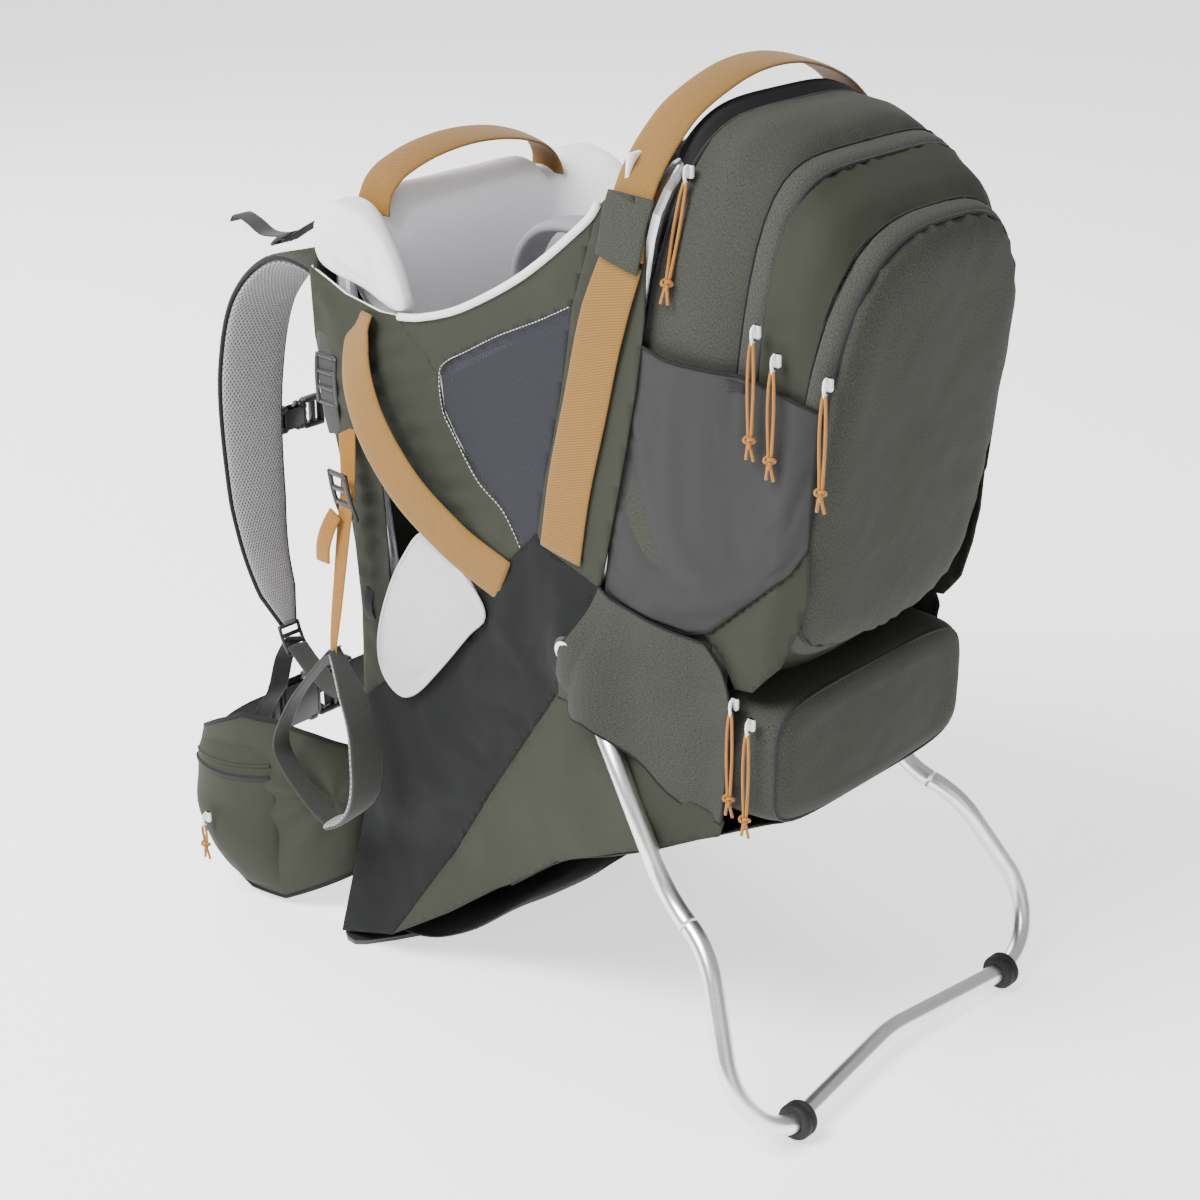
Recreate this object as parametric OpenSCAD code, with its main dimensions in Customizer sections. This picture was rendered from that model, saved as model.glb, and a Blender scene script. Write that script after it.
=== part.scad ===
// Framed child carrier backpack with a folding kickstand.
// +Z is up, +Y faces the wearer and -Y the luggage side. The origin is the
// centre of the front foot's flat sole. "left" is -X and "right" is +X.

/* [Frame] */
// Outside diameter of the aluminium frame tubes
tube_d = 16; // [15:0.5:16]
// Wall thickness of the tubes
tube_wall = 1.2; // [1:0.1:1.6]
// Half the distance between the uprights' centre lines
upright_x = 132; // [130:1:132]
// Height of the front hoop's top tube
front_hoop_z = 640; // [636:1:642]
// Height of the rear hoop's top tube
rear_hoop_z = 735; // [732:1:736]

/* [Kickstand] */
// Height of the kickstand's pivot above the floor
pivot_z = 356; // [355:1:357]
// Distance of the pivot behind the foot's centre
pivot_back = 223; // [222:1:224]
// Half the distance between the kickstand's legs at the pivots
leg_x = 160; // [160:0.5:161]
// Outside radius of the rubber rings that stand on the floor
ring_r = 14.5; // [14.5:0.1:14.7]

/* [Fabric body] */
// Half width of the fabric body at the outside of its walls
wall_x = 146; // [146:0.5:146.5]
// Thickness of the fabric walls
cloth = 3; // [2:0.5:3]
// Half width of the foot at the floor
foot_x = 182; // [178:1:182]

/* [Luggage] */
// Half width of the main compartment
pack_x = 141; // [138:1:141]
// Half width of the front pocket
front_pocket_x = 120; // [114:1:121]

/* [Harness] */
// Width of a shoulder strap
strap_w = 60; // [52:1:62]
// Width of the hip belt's webbing
belt_w = 38; // [30:1:40]

/* [Hidden] */
$fn = 48;

sides = [-1, 1];
tube_r = tube_d / 2;
bore_r = tube_r - tube_wall;
pivot_y = -pivot_back;
hub_r = 21;
pin_r = 3.95;
eye_bore_r = 4;
aluminium = [0.75, 0.76, 0.78];
olive = [0.38, 0.39, 0.36];
dark_grey = [0.29, 0.3, 0.31];
heather = [0.33, 0.34, 0.32];
fleece = [0.84, 0.84, 0.86];
tan_web = [0.76, 0.6, 0.36];
black_plastic = [0.12, 0.12, 0.13];

// Frame routes: [x, y, z] corners with a bend radius at each inner corner
hoop_route = [
    [-152, 22, 8], [-upright_x - 1, 14, 112], [-upright_x, 6, 330],
    [-upright_x, 58, front_hoop_z], [upright_x, 58, front_hoop_z], [upright_x, 6, 330],
    [upright_x + 1, 14, 112], [152, 22, 8]
];
hoop_bends = [150, 150, 55, 55, 150, 150];
rear_route = [
    [-upright_x, pivot_y, pivot_z], [-upright_x, -236, 440], [-upright_x, -283, rear_hoop_z],
    [upright_x, -283, rear_hoop_z], [upright_x, -236, 440], [upright_x, pivot_y, pivot_z]
];
rear_bends = [200, 55, 55, 200];
leg_route = [
    [leg_x, pivot_y, pivot_z], [155, -318, 169], [169, -371, 150], [222, -451, 11.5],
    [0, -427, 20]
];
leg_bends = [78, 78, 57];

// ---- Vector helpers -------------------------------------------------------

function unit(v) = v / norm(v);
function lerp(a, b, t) = a + (b - a) * t;
function flip_x(p) = [-p[0], p[1], p[2]];
function reversed(list) = [for (i = [len(list) - 1:-1:0]) list[i]];
// Corners of one side followed by their mirror image
function both_sides(half) =
    concat(half, [for (i = [len(half) - 2:-1:0]) flip_x(half[i])]);
// Smooth curve through every point of a list, with steps spans between two
function spline_point(p, i, t) =
    let (n = len(p) - 1,
         a = p[max(i - 1, 0)], b = p[i], c = p[min(i + 1, n)], d = p[min(i + 2, n)])
    0.5 * (2 * b + (c - a) * t + (2 * a - 5 * b + 4 * c - d) * t * t
           + (3 * b - a - 3 * c + d) * t * t * t);
function spline(p, steps = 4) = concat(
    [for (i = [0:len(p) - 2], s = [0:steps - 1]) spline_point(p, i, s / steps)],
    [p[len(p) - 1]]);

// ---- Solid helpers --------------------------------------------------------

// Puts local X, Y and Z axes and an origin in place
module place(x_axis, y_axis, z_axis, origin) {
    multmatrix([for (r = [0:2]) [x_axis[r], y_axis[r], z_axis[r], origin[r]]])
        children();
}

// Solid rod from a to b
module rod(a, b, r) {
    axis = unit(b - a);
    side = unit(cross(axis, abs(axis[0]) < 0.9 ? [1, 0, 0] : [0, 1, 0]));
    place(side, cross(axis, side), axis, a) cylinder(r = r, h = norm(b - a));
}

module straight_tube(a, b, outer, inner) {
    difference() {
        rod(a, b, outer);
        rod(a - unit(b - a), b + unit(b - a), inner);
    }
}

// Points along straight legs joined by round bends, with skip off both ends
function bend_points(before, corner, after, radius, steps = 5) =
    let (u = unit(corner - before), w = unit(after - corner), turn = acos(u * w),
         inward = unit(w - u * (u * w)),
         centre = corner - u * radius * tan(turn / 2) + inward * radius)
    [for (k = [0:steps]) let (a = turn * k / steps)
        centre + radius * (u * sin(a) - inward * cos(a))];
function bent_path(p, bends, skip) =
    let (n = len(p), first = unit(p[1] - p[0]), last = unit(p[n - 1] - p[n - 2]))
    concat([p[0] + first * skip],
           [for (i = [1:n - 2]) each bend_points(p[i - 1], p[i], p[i + 1], bends[i - 1])],
           [p[n - 1] - last * skip]);

// Direction of a path at point i, and a side direction carried along it
function heading(path, i) =
    unit(path[min(i + 1, len(path) - 1)] - path[max(i - 1, 0)]);
function carried_sides(path, i = 0, side = [0, 1, 0], done = []) =
    i == len(path) ? done
    : let (dir = heading(path, i), next = unit(side - dir * (side * dir)))
      carried_sides(path, i + 1, next, concat(done, [next]));

// Hollow tube along legs and bends, as one closed mesh
module bent_tube(p, bends, outer, inner, skip = 0, sides = 16) {
    path = bent_path(p, bends, skip);
    across = carried_sides(path);
    m = len(path);
    points = [for (i = [0:m - 1], r = [outer, inner], k = [0:sides - 1])
        let (a = 360 * k / sides, up = cross(heading(path, i), across[i]))
        path[i] + r * (across[i] * cos(a) + up * sin(a))];
    function at(i, wall, k) = (i * 2 + wall) * sides + k % sides;
    walls = [for (i = [0:m - 2], k = [0:sides - 1]) each [
        [at(i, 0, k), at(i + 1, 0, k), at(i + 1, 0, k + 1), at(i, 0, k + 1)],
        [at(i, 1, k + 1), at(i + 1, 1, k + 1), at(i + 1, 1, k), at(i, 1, k)]]];
    ends = [for (k = [0:sides - 1]) each [
        [at(0, 0, k), at(0, 0, k + 1), at(0, 1, k + 1), at(0, 1, k)],
        [at(m - 1, 1, k), at(m - 1, 1, k + 1), at(m - 1, 0, k + 1), at(m - 1, 0, k)]]];
    polyhedron(points, concat(walls, ends), convexity = 10);
}

// Closed solid through rings of equally many points, in order
module loft(rings) {
    n = len(rings[0]);
    m = len(rings);
    points = [for (r = rings, p = r) p];
    walls = [for (k = [0:m - 2], i = [0:n - 1])
        let (j = (i + 1) % n)
        each [[k * n + i, (k + 1) * n + i, (k + 1) * n + j],
              [k * n + i, (k + 1) * n + j, k * n + j]]];
    caps = [[for (i = [0:n - 1]) i], [for (i = [n - 1:-1:0]) (m - 1) * n + i]];
    polyhedron(points, concat(walls, caps), convexity = 6);
}

// Flat strap of width w and thickness t along a path; across is its width
// direction, w may be a list with one width for each point
module ribbon(path, across, w, t) {
    n = len(path);
    loft([for (i = [0:n - 1])
        let (dir = unit(path[min(i + 1, n - 1)] - path[max(i - 1, 0)]),
             side = unit(across - dir * (across * dir)),
             up = cross(dir, side),
             half = (is_list(w) ? w[i] : w) / 2)
        [path[i] - side * half - up * t / 2, path[i] + side * half - up * t / 2,
         path[i] + side * half + up * t / 2, path[i] - side * half + up * t / 2]]);
}

// Sheet of cloth through a grid of points, thick along one direction
module skin(grid, thick) {
    m = len(grid);
    n = len(grid[0]);
    loft([for (row = grid)
        concat(row, [for (i = [n - 1:-1:0]) row[i] + thick])]);
}

// Side-view outline [y, z] made into a slab between two x values
module side_slab(outline, x0, x1) {
    place([0, 1, 0], [0, 0, 1], [1, 0, 0], [min(x0, x1), 0, 0])
        linear_extrude(abs(x1 - x0)) polygon(outline);
}

// Strip that follows a side-view line and is t thick towards -Y
module side_strip(line, t, half_x) {
    side_slab(concat(line, [for (p = reversed(line)) p - [t, 0]]), -half_x, half_x);
}

// Box with its centre, its size and a heading about Z
module block(centre, size, heading = 0) {
    translate(centre) rotate([0, 0, heading]) cube(size, center = true);
}

module mirrored_pair() {
    children();
    mirror([1, 0, 0]) children();
}

// ---- Frame ----------------------------------------------------------------

module frame_hoop() {
    color(aluminium) bent_tube(hoop_route, hoop_bends, tube_r, bore_r);
}

module rear_hoop() {
    color(aluminium) bent_tube(rear_route, rear_bends, tube_r, bore_r, skip = 12);
}

// Each side has a stay from the hub to the foot, and one that bends over the
// leg opening from the hub to the upright
over_leg_route = [
    [-upright_x, pivot_y + 16, 364], [-upright_x, -92, 410], [-upright_x, -12, 482],
    [-upright_x, 34, 566]
];

module side_struts() {
    color(aluminium) mirrored_pair() {
        straight_tube([-upright_x, pivot_y + 16, pivot_z - 20], [-134, 6, 56], tube_r, bore_r);
        bent_tube(over_leg_route, [120, 120], tube_r - 2, bore_r - 2);
    }
}

module cross_bars() {
    color(aluminium) {
        straight_tube([-118, pivot_y, pivot_z], [118, pivot_y, pivot_z], tube_r - 1, bore_r - 1);
        straight_tube([-140, 8, 96], [140, 8, 96], tube_r - 3, bore_r - 3);
    }
}

module hinge_hubs() {
    color(black_plastic) mirrored_pair()
        translate([-150.5, pivot_y, pivot_z]) rotate([0, 90, 0]) difference() {
            cylinder(r = hub_r, h = 32);
            translate([0, 0, -1]) cylinder(r = pin_r, h = 34);
        }
}

module hinge_rivets() {
    color(aluminium) mirrored_pair()
        translate([-171, pivot_y, pivot_z]) rotate([0, 90, 0]) {
            cylinder(r = pin_r, h = 50);
            cylinder(r = 8, h = 2);
        }
}

// ---- Kickstand ------------------------------------------------------------

module kickstand_tube() {
    route = both_sides(leg_route);
    bends = concat(leg_bends, [150], reversed(leg_bends));
    color(aluminium) bent_tube(route, bends, tube_r, bore_r, skip = 12.5);
}

ring_x = 143;
bar_dir = unit(leg_route[4] - leg_route[3]);
ring_spot = leg_route[3] + bar_dir * (leg_route[3][0] - ring_x) / -bar_dir[0];

module kickstand_rings() {
    color([0.07, 0.07, 0.08]) mirrored_pair()
        straight_tube(ring_spot - bar_dir * 7, ring_spot + bar_dir * 7, ring_r, tube_r);
}

// Plug inside the tube's end with the eye that turns on the rivet
module kickstand_end_plugs() {
    down = unit(leg_route[1] - leg_route[0]);
    color(black_plastic) mirrored_pair() {
        difference() {
            union() {
                translate([leg_x - 8.2, pivot_y, pivot_z]) rotate([0, 90, 0])
                    cylinder(r = 11, h = 16.4);
                rod(leg_route[0] + down * 6, leg_route[0] + down * 40, bore_r - 0.05);
            }
            translate([leg_x - 12, pivot_y, pivot_z]) rotate([0, 90, 0])
                cylinder(r = eye_bore_r, h = 24);
        }
    }
}

// ---- Foot and fabric body -------------------------------------------------

// Rear edge of the sole: a shallow arc from the corners to the middle
function sole_back(x) = -44 + 62 * pow(abs(x) / 185, 2.2);

module foot_sole() {
    outline = concat(
        [[-177, 38], [-182, 30], [-183, 20]],
        [for (x = [-176:22:176]) [x, sole_back(x)]],
        [[183, 20], [182, 30], [177, 38]]);
    color(black_plastic) linear_extrude(4) polygon(outline);
}

module bottom_pan() {
    line = [[-40, 5], [-78, 29], [-103, 54], [-160, 98], [-215, 138], [-240, 160]];
    color(black_plastic) side_strip(line, -cloth, 138);
}

// Outline of a side wall: front edge, cockpit rim, pack seam and hem
wall_outline = [
    [37, 110], [31, 227], [29, 313], [34, 368], [44, 427], [59, 485], [72, 542], [75, 600],
    [-6, 575], [-57, 583], [-101, 599], [-165, 636], [-225, 680], [-240, 689], [-272, 689],
    [-276, 667], [-259, 561], [-247, 481], [-238, 397], [-226, 330], [-238, 172], [-194, 151],
    [-142, 110]
];
leg_opening = [
    [2, 480], [-26, 450], [-71, 409], [-110, 365], [-104, 328], [-29, 278], [-10, 264],
    [-8, 313], [-6, 368], [-2, 427]
];
window_outline = [
    [-65, 532], [-69, 549], [-132, 582], [-210, 609], [-177, 434], [-155, 416], [-97, 498]
];
// Below flare_z the wall leans out to the foot; its hem is [y, z]
flare_z = 114;
flare_up = unit([foot_x - wall_x - 3, 0, flare_z - 5]);
flare_hem = [[38, 6], [-20, 23], [-78, 62], [-128, 101]];

module flared_foot() {
    hem = [for (p = flare_hem) [p[0], (p[1] - flare_z) / flare_up[2]]];
    place([0, 1, 0], flare_up, cross([0, 1, 0], flare_up), [-wall_x, 0, flare_z])
        linear_extrude(cloth) polygon(concat([[-138, 2], [37, 2]], hem));
}

module side_wall() {
    difference() {
        side_slab(wall_outline, -wall_x, -wall_x + cloth);
        side_slab(leg_opening, -wall_x - 1, -wall_x + cloth + 1);
        side_slab(window_outline, -wall_x - 1, -wall_x + cloth + 1);
        translate([-wall_x - 1, pivot_y, pivot_z]) rotate([0, 90, 0])
            cylinder(r = hub_r + 0.5, h = cloth + 2);
    }
    flared_foot();
}

module side_wall_left() {
    color(olive) side_wall();
}

module side_wall_right() {
    color(olive) mirror([1, 0, 0]) side_wall();
}

module mesh_windows() {
    color([0.4, 0.42, 0.48]) mirrored_pair()
        side_slab([for (p = window_outline) lerp([-133, 532], p, 0.995)],
                  -wall_x + 0.6, -wall_x + 1.8);
}

// Outer cloth over the top of each kickstand leg, open along its lower edge
module leg_skirts() {
    bulge = [[-152, 0.6], [-170, 16], [-190, 26], [-228, 26.5], [-256, 26], [-272, 4]];
    color(dark_grey) mirrored_pair()
        skin([for (row = [[318, 1], [395, 1], [412, 0.8], [425, 0.05]])
                 [for (b = bulge) [-wall_x - 0.6 - b[1] * row[1], b[0], row[0]]]],
             [0.05 - 2, 0, 0]);
}

// Wearer's side of the back panel: [half width, y, z]
panel_rows = [
    [172, 39, 6], [157, 38, 60], [wall_x - 4, 37, 110], [wall_x - 4, 31, 227],
    [wall_x - 4, 29, 313], [wall_x - 4, 34, 368], [wall_x - 4, 44, 427],
    [wall_x - 4, 59, 485], [wall_x - 4, 72, 542], [wall_x - 4, 75.5, 590],
    [wall_x - 4, 75.5, 612]
];

module back_panel() {
    color(olive) skin([for (r = panel_rows) [[-r[0], r[1], r[2]], [r[0], r[1], r[2]]]], [0, -5, 0]);
}

// Padded fleece over the front hoop, and its ears outside the side walls
module drool_pad() {
    section = [
        [68, 560], [68, 613], [75, 617], [76, 640], [70, 652], [54, 659], [36, 654], [27, 640],
        [24, 560], [30, 480], [40, 478], [52, 520]
    ];
    ear = [
        [58, 606], [66, 630], [56, 652], [26, 658], [-16, 654], [-27, 600], [-8, 577]
    ];
    color(fleece) {
        side_slab(section, -138, 138);
        mirrored_pair() side_slab(ear, -wall_x - 7, -wall_x - 0.4);
    }
}

// Y of the back panel's face at height z, for pads that lie on it
function panel_y(z) = lookup(z, [for (r = panel_rows) [r[2], r[1]]]);

module back_pads() {
    path = [for (z = [250:40:570]) [46, panel_y(z) + 8.5, z]];
    color([0.5, 0.5, 0.5]) mirrored_pair() ribbon(path, [1, 0, 0], 52, 12);
}

module lumbar_pad() {
    path = [for (z = [62:22:216]) [0, panel_y(z) + 12, z]];
    color([0.45, 0.45, 0.45]) ribbon(path, [1, 0, 0], [150, 172, 180, 184, 184, 180, 172, 150], 20);
}

module cockpit_rear_wall() {
    line = [[-205, 372], [-221, 440], [-243, 575], [-262, 690], [-264, 706]];
    color(fleece) side_strip(line, 4, 139);
}

// Piping along the cockpit rim, just outside each side wall's top edge
module cockpit_rim_trim() {
    rim = [[-30, 578], [-57, 583], [-101, 599], [-165, 636], [-225, 680], [-238, 690]];
    path = [for (p = spline(rim, 3)) [-wall_x - 2.4, p[0], p[1]]];
    color([0.9, 0.9, 0.9]) mirrored_pair() ribbon(path, [1, 0, 0], 4, 5);
}

// ---- Shoulder harness -----------------------------------------------------

module harness_yoke() {
    path = [for (z = [408:24:552]) [0, panel_y(z) + 21, z]];
    color(heather) ribbon(path, [1, 0, 0], [110, 150, 176, 184, 188, 190, 186], 8);
}

strap_path = spline([
    [-66, 100, 540], [-69, 120, 574], [-76, 168, 577], [-83, 212, 535], [-88, 230, 465],
    [-93, 228, 385], [-99, 212, 300], [-102, 182, 236]
], 3);

module shoulder_strap() {
    n = len(strap_path) - 1;
    widths = [for (i = [0:n]) strap_w * (1 - 0.5 * pow(i / n, 6))];
    ribbon(strap_path, [1, -0.25, 0], widths, 13);
}

module shoulder_strap_left() {
    color(heather) shoulder_strap();
}

module shoulder_strap_right() {
    color(heather) mirror([1, 0, 0]) shoulder_strap();
}

module load_lifters() {
    path = spline([[-78, 176, 590], [-77, 150, 606], [-76, 112, 628], [-75, 92, 640]], 2);
    color(heather) mirrored_pair() ribbon(path, [1, 0, 0], 20, 2);
}

// Webbing from each shoulder strap's tip back to the foot of the back panel
module strap_tails() {
    path = spline([[-104, 168, 218], [-108, 140, 206], [-110, 100, 204], [-108, 56, 214]], 3);
    color(heather) mirrored_pair() ribbon(path, [1, 0, 0], 20, 2);
}

// Ladder-lock buckle: a frame with one bar, flat in its own XY plane
module ladder_lock(w, l) {
    linear_extrude(4, center = true) difference() {
        square([w, l], center = true);
        for (s = sides) translate([0, s * l / 4.4]) square([w - 7, l / 4], center = true);
    }
}

module strap_adjusters() {
    color(black_plastic) mirrored_pair() {
        translate([-102, 175, 223]) rotate([48, 0, 0]) ladder_lock(28, 30);
        translate([-78, 178, 593]) rotate([-25, 0, 0]) ladder_lock(28, 28);
    }
}

// ---- Buckles with webbing that runs through the male half -----------------

// Straight webbing along X, from the strap on each side
sternum_y = 244;
sternum_z = 404;
module sternum_webbing() {
    color(heather) {
        block([-57, sternum_y, sternum_z], [16, 2, 20]);
        block([34, sternum_y, sternum_z], [60, 2, 20]);
    }
}

module buckle_female(y, z, x0, x1, high, deep) {
    difference() {
        block([(x0 + x1) / 2, y, z], [x1 - x0, deep, high]);
        block([x1 - 6, y, z], [24, deep - 5, high - 8]);
    }
}

// The tongue enters the female half; webbing runs through a slot end to end
module buckle_male(y, z, x0, x1, high, deep, web) {
    difference() {
        union() {
            block([x0 - 5, y, z], [11, deep - 6, high - 14]);
            block([(x0 + x1) / 2, y, z], [x1 - x0, deep, high]);
        }
        block([(x0 + x1) / 2, y, z], [x1 - x0 + 30, 4, web + 2]);
    }
}

module sternum_buckle_female() {
    color(black_plastic) buckle_female(sternum_y, sternum_z, -49, -22, 26, 11);
}

module sternum_buckle_male() {
    color(black_plastic) buckle_male(sternum_y, sternum_z, -21.4, 4, 30, 11, 20);
}

belt_y = 262;
belt_z = 108;
module hip_buckle_female() {
    color(black_plastic) buckle_female(belt_y, belt_z, -62, -10, 50, 14);
}

module hip_buckle_male() {
    color(black_plastic) buckle_male(belt_y, belt_z, -9.4, 38, 50, 14, belt_w);
}

module hip_webbing() {
    left = spline([[-157, 241, 106], [-120, 257, 107], [-90, 262, 108], [-62, 262, 108]], 3);
    right = spline([[6, 262, 108], [60, 262, 108], [100, 261, 108], [124, 256, 107],
                    [157, 241, 106]], 3);
    color(black_plastic) {
        ribbon(left, [0, 0, 1], belt_w, 2);
        ribbon(right, [0, 0, 1], belt_w, 2);
    }
}

// ---- Hip belt -------------------------------------------------------------

module hip_wing() {
    path = spline([[-104, 50, 104], [-138, 56, 106], [-163, 84, 106], [-180, 126, 104],
                   [-187, 170, 104], [-180, 212, 104], [-160, 238, 106]], 2);
    widths = [112, 116, 122, 130, 142, 158, 170, 164, 148, 122, 96, 74, 56];
    ribbon(path, [0, 0, 1], widths, 14);
    pocket = spline([[-193, 114, 96], [-203, 145, 96], [-205, 176, 96], [-198, 206, 96]], 2);
    ribbon(pocket, [0, 0, 1], [80, 100, 116, 122, 116, 100, 78], 14);
}

module hip_wing_left() {
    color(olive) hip_wing();
}

module hip_wing_right() {
    color(olive) mirror([1, 0, 0]) hip_wing();
}

// ---- Child's seat and harness ---------------------------------------------

module seat_shell() {
    line = [[-176, 440], [-172, 380], [-158, 340], [-120, 318], [-60, 312], [-20, 322], [-2, 350]];
    upper = [for (p = reversed(line)) p + [2, 6]];
    color(fleece) side_slab(concat(line, upper), -84, 84);
}

// Padded wings that carry the thighs out through the leg openings
module seat_thigh_wings() {
    paddle = [
        [-57, 400], [-28, 371], [-8, 332], [1, 292], [-4, 266], [-22, 252], [-42, 260],
        [-71, 290], [-91, 318], [-98, 344], [-88, 368]
    ];
    color(fleece) mirrored_pair() {
        side_slab(paddle, -wall_x - 8, -wall_x - 3.5);
        place([1, 0, 0], [0, 0, 1], [0, -1, 0], [0, -34, 0]) linear_extrude(44)
            polygon([[-84.5, 326], [-84.5, 334], [-120, 344], [-wall_x - 6, 348],
                     [-wall_x - 6, 340], [-120, 336]]);
    }
}

module child_harness() {
    shoulder = spline([[-48, -226, 604], [-50, -190, 636], [-50, -140, 650], [-50, -95, 640],
                       [-48, -72, 600], [-40, -80, 530], [-28, -98, 470], [-20, -112, 450]], 2);
    crotch = spline([[0, -84, 330], [0, -92, 352], [0, -106, 384], [0, -111, 396]], 2);
    color([0.42, 0.42, 0.45]) {
        mirrored_pair() ribbon(shoulder, [1, 0, 0], 34, 6);
        ribbon(crotch, [1, 0, 0], 36, 3);
    }
}

module harness_buckle() {
    color(black_plastic) difference() {
        block([0, -108, 422], [56, 14, 44]);
        translate([0, -107, 420]) rotate([-90, 0, 0]) cylinder(r = 10.2, h = 10);
    }
}

module harness_release_button() {
    color([0.75, 0.12, 0.08]) translate([0, -103, 420]) rotate([-90, 0, 0])
        cylinder(r = 9.8, h = 5);
}

// ---- Luggage --------------------------------------------------------------

// Rounded front-view outline in X and Z; y leans back by lean for each mm of z
function bag_ring(y, half_x, z0, z1, lean = 0, n_top = 3, n_low = 4, count = 28) =
    let (zm = z0 + (z1 - z0) * 0.45)
    [for (i = [0:count - 1])
        let (a = 360 * i / count, c = cos(a), s = sin(a), e = s > 0 ? n_top : n_low,
             k = pow(pow(abs(c), e) + pow(abs(s), e), -1 / e),
             z = zm + k * s * (s > 0 ? z1 - zm : zm - z0))
        [half_x * k * c, y - lean * (z - 500), z]];

module pack_main() {
    color(heather) loft([
        bag_ring(-263, pack_x - 17, 200, 744, 0.13, 4),
        bag_ring(-266, pack_x, 182, 758, 0.13, 4),
        bag_ring(-300, pack_x - 2, 188, 759, 0.13, 4),
        bag_ring(-328, pack_x - 9, 198, 752, 0.09, 4),
        bag_ring(-344, pack_x - 16, 212, 738, 0.08, 4)
    ]);
}

module mid_pocket() {
    color(olive) loft([
        bag_ring(-345, pack_x - 18, 352, 732, 0.08, 5),
        bag_ring(-350, pack_x - 15, 348, 737, 0.08, 5),
        bag_ring(-358, pack_x - 17, 350, 733, 0.09, 4),
        bag_ring(-384, pack_x - 18, 356, 716, 0.11, 4),
        bag_ring(-397, pack_x - 20, 362, 704, 0.12, 3)
    ]);
}

module front_pocket() {
    color(heather) loft([
        bag_ring(-398, front_pocket_x, 366, 702, 0.12),
        bag_ring(-402, front_pocket_x + 2, 362, 705, 0.13),
        bag_ring(-407, front_pocket_x - 6, 366, 697, 0.14),
        bag_ring(-414, front_pocket_x - 12, 374, 688, 0.14),
        bag_ring(-419, front_pocket_x - 30, 392, 670, 0.14)
    ]);
}

module lower_pocket() {
    color(heather) loft([
        bag_ring(-346, 122, 242, 340, 0.08, 5, 5),
        bag_ring(-352, 127, 236, 344, 0.08, 5, 5),
        bag_ring(-384, 125, 236, 344, 0, 5, 5),
        bag_ring(-394, 118, 242, 338, 0, 5, 5),
        bag_ring(-398, 104, 254, 326, 0, 5, 5)
    ]);
}

// Stretch pocket on each flank, following the pack's outline in plan
module side_pockets() {
    low = [[-250, 404], [-290, 396], [-328, 392], [-362, 420], [-396, 450]];
    top = [[-268, 608], [-305, 600], [-345, 597], [-385, 590], [-416, 580]];
    depth = [0.8, 2.5, -4, -13.5, -16.5];
    color(dark_grey) mirrored_pair()
        skin([for (t = [1, 0.5, 0])
                 [for (i = [0:4]) let (p = lerp(low[i], top[i], t))
                     [-pack_x - 4 - depth[i], p[0], p[1]]]], [2, 0, 0]);
}

// ---- Zip sliders and cord pulls -------------------------------------------

// Where each cord pull hangs from its slider
main_pull = [-121, -297, 721];
mid_upper_pull = [-138, -373, 624];
mid_lower_pull = [-135, -389, 606];
front_pull = [-124, -426, 594];
lower_upper_pull = [-135, -360, 334];
lower_lower_pull = [-135, -376, 322];
hip_pull = [-217.2, 178, 76];
pull_spots = [
    main_pull, mid_upper_pull, mid_lower_pull, front_pull, lower_upper_pull, lower_lower_pull
];

module slider(p, reach = 8) {
    block(p + [1 + reach / 2, 0, 6], [reach, 6, 10]);
}

module zip_sliders() {
    color([0.85, 0.85, 0.85]) {
        for (p = pull_spots) slider(p);
        mirrored_pair() slider(hip_pull, 4);
    }
}

// Doubled cord with a knot, hanging from p; tilt leans its end outwards, over the flank
module cord_pull(p, len, tilt = 0) {
    color([0.84, 0.62, 0.35]) translate(p) rotate([0, tilt, 0]) {
        block([0, 0, -len / 2], [3, 6, len]);
        block([0, 0, -len - 6], [7, 10, 12]);
    }
}

module pull_main() { cord_pull(main_pull, 66, 15); }
module pull_mid_upper() { cord_pull(mid_upper_pull, 66); }
module pull_mid_lower() { cord_pull(mid_lower_pull, 60); }
module pull_front() { cord_pull(front_pull, 66); }
module pull_lower_upper() { cord_pull(lower_upper_pull, 66); }
module pull_lower_lower() { cord_pull(lower_lower_pull, 66); }
module pull_hip_left() { cord_pull(hip_pull, 14); }
module pull_hip_right() { cord_pull(flip_x(hip_pull), 14); }

// ---- Handles and webbing --------------------------------------------------

module front_handle() {
    path = spline([[-103, 45, 645], [-100, 45, 654], [-84, 45, 670], [-46, 45, 682], [0, 45, 686],
                   [46, 45, 682], [84, 45, 670], [100, 45, 654], [103, 45, 645]], 3);
    color(tan_web) ribbon(path, [0, 1, 0.2], 34, 4);
}

module rear_handle() {
    path = spline([[-149.5, -264, 668], [-149, -266, 692], [-136, -266, 718], [-110, -266, 748],
                   [-64, -267, 774], [0, -267, 785], [64, -267, 774], [110, -266, 748],
                   [136, -266, 718], [149, -266, 692], [149.5, -264, 668]], 3);
    color(tan_web) ribbon(path, [0, 1, 0.1], 36, 4);
}

module side_straps() {
    front = spline([[-wall_x - 3, 14, 566], [-157, -6, 508], [-161, -42, 450],
                    [-160, -88, 412], [-wall_x - 3, -134, 382]], 3);
    rear = [[-wall_x - 3, -262, 660], [-wall_x - 3, -238, 556], [-wall_x - 3, -201, 432]];
    color(tan_web) mirrored_pair() {
        ribbon(front, [0, 1, -1], 38, 3);
        ribbon(rear, [0, 1, 0.2], 38, 3);
    }
}

// ---- Stirrups -------------------------------------------------------------

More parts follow.
